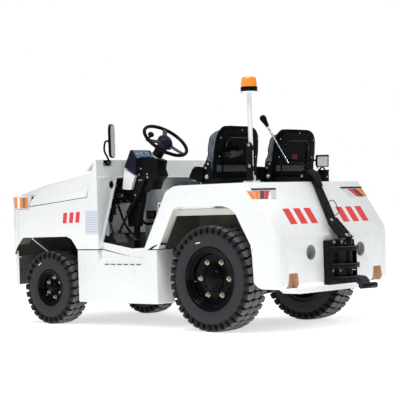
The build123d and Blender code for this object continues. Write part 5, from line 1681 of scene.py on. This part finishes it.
def makePole():
    x, y = poleLook["place"]
    at = Matrix.Translation((x, y, 0))
    r = poleLook["radius"]
    profile = [(0, 1.0640), (r + 0.004, 1.0640), (r + 0.004, 1.120), (r, 1.122), (r, 1.716),
        (0.030, 1.7185), (0.0715, 1.7185), (0.0728, 1.7205), (0.0728, 1.7245), (0.0715, 1.7258),
        (0, 1.7258)]
    parts = [lathe("pole", profile, "white", at, 40, 40),
        brick("foot", (x - 0.055, y - 0.035, 1.0635), (x + 0.055, y + 0.035, 1.079), "white", 0.004, 3),
        brick("clampA", (x - 0.022, y - 0.022, 1.079), (x + 0.022, y + 0.022, 1.118), "white", 0.004, 3)]
    fit(merge("beaconPole", parts), "body_paint", "beacon_pole")
    base = [(0, 1.7262), (0.058, 1.7262), (0.0615, 1.729), (0.0618, 1.738), (0.0600, 1.741),
        (0.0600, 1.744), (0.0618, 1.747), (0.0618, 1.757), (0.0600, 1.7608), (0, 1.7608)]
    fit(lathe("beaconBase", base, "plastic", at, 56, 30), "black_plastic", "beacon_base")
    dome = [(0, 1.7612), (0.0578, 1.7612), (0.0580, 1.765), (0.0575, 1.775), (0.0552, 1.802),
        (0.0538, 1.816), (0.0500, 1.826), (0.0420, 1.8312), (0.0200, 1.8328), (0, 1.8330)]
    lensPiece = lathe("beaconLens", dome, "beacon", at, poleLook["ribs"] * 4, 40)
    for vert in lensPiece.data.vertices:
        dx, dy = vert.co.x - x, vert.co.y - y
        if dx * dx + dy * dy > 0.0019 and 1.763 < vert.co.z < 1.829:
            swell = 1 - 0.016 * (0.5 - 0.5 * cos(atan2(dy, dx) * poleLook["ribs"]))
            vert.co.x, vert.co.y = x + dx * swell, y + dy * swell
    fit(lensPiece, "amber_lens", "beacon_lens")
    bolts = [((x + dx, y + dy, 1.0792), (0, 0, 1), 0.006) for dx in (-0.043, 0.043)
        for dy in (-0.024, 0.024)]
    studs("poleBolts", bolts + [((x - 0.022, y, 1.100), (-1, 0, 0), 0.006)])


beltLook = {"web": 0.050, "plate": (0.347, 0.420), "x": -0.8715}


def makeBelt():
    x = beltLook["x"]
    low, high = beltLook["plate"]
    outline = [(low, 1.080), (high - 0.012, 1.080), (high, 1.092), (high, 1.345), (high - 0.010, 1.357),
        (low + 0.016, 1.357), (low, 1.340)]
    parts = [prism("plate", outline, 0.006, "black", lambda a, b, c: (x - c, a, b), 0.002)]
    for z in (1.300, 1.150):
        parts.append(lathe("strap", [(0.0172, 0), (0.0215, 0), (0.0215, 0.034), (0.0172, 0.034),
            (0.0172, 0)], "black", Matrix.Translation((-0.850, 0.333, z)), 32, 40))
        parts.append(brick("lug", (-0.8718, 0.340, z + 0.002), (-0.850, 0.372, z + 0.032), "black", 0.002))
    parts.append(brick("reel", (x, low + 0.020, 1.255), (x + 0.030, high - 0.004, 1.335), "plastic", 0.006,
        3))
    fit(merge("beltBracket", parts), "black_paint", "belt_bracket")
    bolts = ((1.338, 0.0095), (1.186, 0.0105))
    studs("beltBolts", [((x - 0.006, 0.394, z), (-1, 0, 0), r) for z, r in bolts])
    makeWebbing()
    buckle = [beltRing("outer", 0.492, 0.575, 1.256, 1.286, 0.0042, "plastic"),
              beltRing("inner", 0.500, 0.530, 1.258, 1.284, 0.003, "greyPlastic"),
              brick("tab", (-0.799, 0.538, 1.258), (-0.792, 0.572, 1.284), "plastic", 0.002)]
    fit(merge("beltBuckle", buckle), "black_plastic")


def beltRing(name, y0, y1, z0, z1, radius, finish):
    at, mid = -0.7955, (y0 + y1) / 2
    path = [(at, y0, z0), (at, mid, z0 - 0.002), (at, y1, z0), (at, y1 + 0.004, (z0 + z1) / 2),
            (at, y1, z1), (at, mid, z1 + 0.002), (at, y0, z1), (at, y0 - 0.004, (z0 + z1) / 2)]
    return tube(name, path, radius, finish, 10, True)


def makeWebbing():
    # a flat strap along a line, a little narrower in the middle
    line = [(-0.800, 0.262, 1.304), (-0.798, 0.300, 1.303), (-0.797, 0.345, 1.297), (-0.796, 0.390, 1.284),
        (-0.795, 0.430, 1.277), (-0.794, 0.470, 1.274), (-0.793, 0.505, 1.268)]
    bm = bmesh.new()
    rows = []
    half = beltLook["web"] / 2
    for i in range(41):
        t = i / 40 * (len(line) - 1)
        a = min(int(t), len(line) - 2)
        spot = Vector(line[a]).lerp(Vector(line[a + 1]), t - a)
        droop = half * (1.0 - 0.30 * sin(pi * i / 40))
        rows.append([bm.verts.new((spot.x - deep, spot.y, spot.z + up * droop))
                     for deep in (0, 0.0012) for up in (-1, -0.5, 0, 0.5, 1)])
    for a, b in zip(rows, rows[1:]):
        for k in range(4):
            bm.faces.new((a[k], a[k + 1], b[k + 1], b[k]))
            bm.faces.new((a[k + 6], a[k + 5], b[k + 5], b[k + 6]))
        bm.faces.new((a[5], a[0], b[0], b[5]))
        bm.faces.new((a[4], a[9], b[9], b[4]))
    for row in (rows[0], rows[-1]):
        for k in range(4):
            bm.faces.new((row[k], row[k + 5], row[k + 6], row[k + 1]))
    bmesh.ops.recalc_face_normals(bm, faces=bm.faces)
    fit(addPiece("beltWebbing", bm, "web", 50), "black_plastic")


makeCornerLamp("left", 1)
makeCornerLamp("right", -1)
makeWorkLamp()
makeMirror()
makePole()
makeBelt()
print("lamps and pole done")


# ---- foot well, cowl face, engine side and small fittings
matLook = {"ribs": 27, "step": 0.011, "start": (-0.132, 0, 0.5475), "inner": 0.186, "outer": 0.612,
    "high": 0.0016}


def makeMats():
    mat = softened("floor_mat_left", "floorMatLeft", "mat", 0.0008, 1)
    rib = brick("matRib", (-0.002, matLook["inner"], 0), (0.002, matLook["outer"], matLook["high"]), "mat",
        0.0008, 1)
    ribs = grow("ribs", "row", rib, "mat", Count=matLook["ribs"], Step=(matLook["step"], 0, 0))
    left = merge("floorMatLeft", [mat, moved(ribs, Matrix.Translation(matLook["start"]))])
    right = twin(left, "floorMatRight")
    fit(left, "mat", "floor_mat_left")
    fit(right, "mat", "floor_mat_right")


sillLook = {"y": 0.614, "thick": 0.004, "edge": ((-0.053, 0.534), (0.11, 0.534), (0.446, 0.600),
    (0.446, 0.658), (0.11, 0.604), (-0.053, 0.610))}


def makeSillPlates():
    # the raised outer edge of each foot well's floor
    thick = sillLook["thick"]
    plates = [prism("sillPlate", sillLook["edge"], thick, "white", upright(y - thick / 2), 0.001)
              for y in (sillLook["y"], -sillLook["y"])]
    fit(merge("sillPlates", plates), "body_paint")


def makePedals():
    parts = [slab("padPlate", [(0.330, 0.560, 0.640), (0.300, 0.470, 0.636), (0.385, 0.425, 0.700),
        (0.425, 0.515, 0.706)], (-0.010, 0, 0.012), "greyPlastic", 0.003),
        slab("heel", [(0.322, 0.566, 0.634), (0.292, 0.470, 0.630), (0.300, 0.468, 0.636),
        (0.330, 0.562, 0.640)], (-0.008, 0, 0.010), "mat", 0.002),
        tube("pedalArm", [(0.395, 0.505, 0.690), (0.410, 0.525, 0.730), (0.412, 0.540, 0.790),
        (0.440, 0.540, 0.860), (0.500, 0.535, 0.930)], 0.009, "black", 10),
        tube("brakeArm", [(0.330, 0.370, 0.690), (0.390, 0.372, 0.740), (0.450, 0.372, 0.830),
        (0.500, 0.372, 0.960)], 0.009, "black", 10), slab("brakePad",
        [(0.290, 0.330, 0.655), (0.290, 0.410, 0.655), (0.345, 0.410, 0.700), (0.345, 0.330, 0.700)],
        (-0.008, 0, 0.010), "mat", 0.002)]
    for k in range(5):
        x, z = 0.279 + 0.011 * k, 0.663 + 0.009 * k
        parts.append(brick("tread", (x, 0.335, z), (x + 0.004, 0.405, z + 0.004), "mat", 0.0008))
    fit(merge("pedals", parts), "black_plastic", "pedal_set")
    lip = slab("pedalEdge", [(0.318, 0.566, 0.646), (0.410, 0.520, 0.716), (0.412, 0.517, 0.718),
        (0.320, 0.563, 0.648)], (-0.002, 0, 0.003), "steel", 0)
    fit(lip, "steel")


wellLook = {"bracket": 0.462, "servos": ((0.350, 1.060, 0.052), (0.215, 1.030, 0.046)), "cowl": 0.4298,
            "ledge": (1.150, 1.160), "grommet": (0.502, 1.097)}


def makeFootWell():
    # brake unit, its bracket and cables behind the cowl's opening
    x = wellLook["bracket"]
    parts = [slab("bracketPlate", [(x, 0.430, 1.146), (x, 0.080, 1.146), (x, 0.085, 1.050),
        (x, 0.240, 0.953), (x, 0.410, 0.950), (x, 0.440, 0.915), (x, 0.466, 0.806), (x, 0.560, 0.806),
        (x, 0.500, 0.980)], (0.020, 0, 0), "black", 0.004),
        slab("foldedEdge", [(x, 0.430, 1.146), (x, 0.424, 1.146), (x, 0.553, 0.806), (x, 0.560, 0.806)],
        (-0.018, 0, 0), "black", 0.002)]
    for y, z, r in wellLook["servos"]:
        can = aimed((x, y, z), (x - 1, y, z))
        parts.append(lathe("servo", [(0, 0), (r, 0), (r, 0.010), (r * 0.86, 0.020), (r * 0.82, 0.032),
            (r * 0.4, 0.040), (r * 0.36, 0.052), (0, 0.052)], "black", can, 32, 40))
    parts.append(brick("master", (x - 0.060, 0.395, 0.990), (x + 0.002, 0.435, 1.030), "cast", 0.005, 3))
    parts.append(brick("link", (x - 0.030, 0.455, 0.860), (x + 0.002, 0.492, 0.925), "cast", 0.004, 3))
    parts.append(tube("cable", [(x - 0.02, 0.30, 1.10), (x - 0.035, 0.34, 1.00), (x - 0.03, 0.40, 0.96),
        (x - 0.02, 0.47, 0.90), (x - 0.015, 0.51, 0.82)], 0.005, "hose", 8))
    parts.append(tube("cable", [(x - 0.02, 0.22, 1.09), (x - 0.045, 0.26, 0.985), (x - 0.04, 0.31, 0.965),
        (x - 0.01, 0.36, 0.955)], 0.004, "hose", 8))
    fit(merge("footWellUnit", parts), "black_paint")
    spots = [(x - 0.0185, 0.418 + 0.125 * t, 1.120 - 0.300 * t, 0.006) for t in (0.1, 0.42, 0.66, 0.92)]
    spots += [(x, 0.372, 0.962, 0.006), (x, 0.30, 0.970, 0.006), (x - 0.060, 0.415, 1.010, 0.008)]
    studs("footWellBolts", [((at, y, z), (-1, 0, 0), r) for at, y, z, r in spots])
    more = [brick("fuseBox", (0.262, 0.181, 0.822), (0.358, 0.196, 0.884), "plastic", 0.004, 3),
        brick("fuseLid", (0.272, 0.194, 0.832), (0.348, 0.201, 0.874), "greyPlastic", 0.002),
        tube("hoseLoop", [(0.425, 0.205, 0.960), (0.421, 0.205, 0.900), (0.412, 0.205, 0.830),
        (0.385, 0.205, 0.795), (0.350, 0.205, 0.781), (0.300, 0.205, 0.779), (0.250, 0.203, 0.795),
        (0.225, 0.196, 0.830)], 0.011, "hose", 14)]
    fit(merge("engineSide", more), "black_plastic")
    fit(brick("stonePad", (0.245, 0.181, 0.790), (0.330, 0.196, 0.818), "tan", 0.010, 3), "inner_paint")


def makeCowlFace():
    # a rolled ledge, a raised rim on each side of the opening and dark grommets
    face, (low, high) = wellLook["cowl"], wellLook["ledge"]
    corners = ((0.441, low), (0.463, low), (0.646, 0.610), (0.624, 0.610))
    rim = [slab("rim", [(face, side * y, z) for y, z in corners], (-0.006, 0, 0), "white", 0.002)
           for side in (1, -1)]
    rim.append(brick("ledge", (face - 0.012, -0.636, low), (face, 0.636, high), "white", 0.004, 3))
    fit(merge("cowlRim", rim), "body_paint")
    y, z = wellLook["grommet"]
    holes = [lathe("grommet", [(0, 0), (0.013, 0), (0.017, 0.0015), (0.019, 0.004), (0.022, 0.0015),
        (0.0235, 0)], "hose", aimed((face, side * y, z), (face - 1, side * y, z))
        @ Matrix.Diagonal((1, 1.25, 1, 1)), 28, 50) for side in (1, -1)]
    fit(merge("grommets", holes), "black_plastic")


fittingLook = {"plate": ((0.568, 0.903), (0.426, 0.903), (0.430, 0.717), (0.572, 0.716)), "lines": 9,
               "lineTop": 0.885, "lineStep": 0.018, "dashes": 6, "dashStep": 0.068, "dashLong": 0.048}


def makeFittings():
    # lined plate on the fender, dashes on the sill, marks on the tyres and a pipe in the arch
    look, y = fittingLook, 0.661
    parts = [slab("infoPlate", [(x, y - 0.0012, z) for x, z in look["plate"]], (0, 0.0012, 0), "greyPlate",
        0.0004, 1)]
    for z in [look["lineTop"] - look["lineStep"] * k for k in range(look["lines"])]:
        parts.append(slab("line", [(0.560, y, z), (0.436, y, z), (0.436, y, z - 0.004),
            (0.560, y, z - 0.004)], (0, 0.0003, 0), "plateLine", 0))
    fit(merge("infoPlate", parts), "body_paint")
    dashes = [brick("dash", (x, y, 0.483), (x + look["dashLong"], y + 0.0015, 0.489), "plastic", 0.0005)
        for y in (0.6585, -0.6600) for x in [look["dashStep"] * k - 0.020 for k in range(look["dashes"])]]
    fit(merge("sillDashes", dashes), "body_paint")
    for end, y, (x1, z1), (x2, z2) in (("rear", 0.6422, (-0.564, 0.637), (-0.608, 0.644)),
                                       ("front", 0.618, (1.174, 0.469), (1.143, 0.486))):
        mark = slab("tyreMark" + end.title(), [(x1, y, z1), (x2, y, z2), (x2, y, z2 + 0.006),
            (x1, y, z1 + 0.006)], (0, 0.0045, 0), "ink", 0)
        fit(mark, "tyre", body=end + "_wheel_left")
    pipe = tube("archPipe", [(-0.330, 0.560, 0.560), (-0.300, 0.610, 0.615), (-0.270, 0.640, 0.640),
        (-0.200, 0.652, 0.640), (-0.120, 0.655, 0.600)], 0.010, "hose", 12)
    fit(pipe, "black_plastic")


makeMats()
makeSillPlates()
makePedals()
makeFootWell()
makeCowlFace()
makeFittings()
print("fittings done")
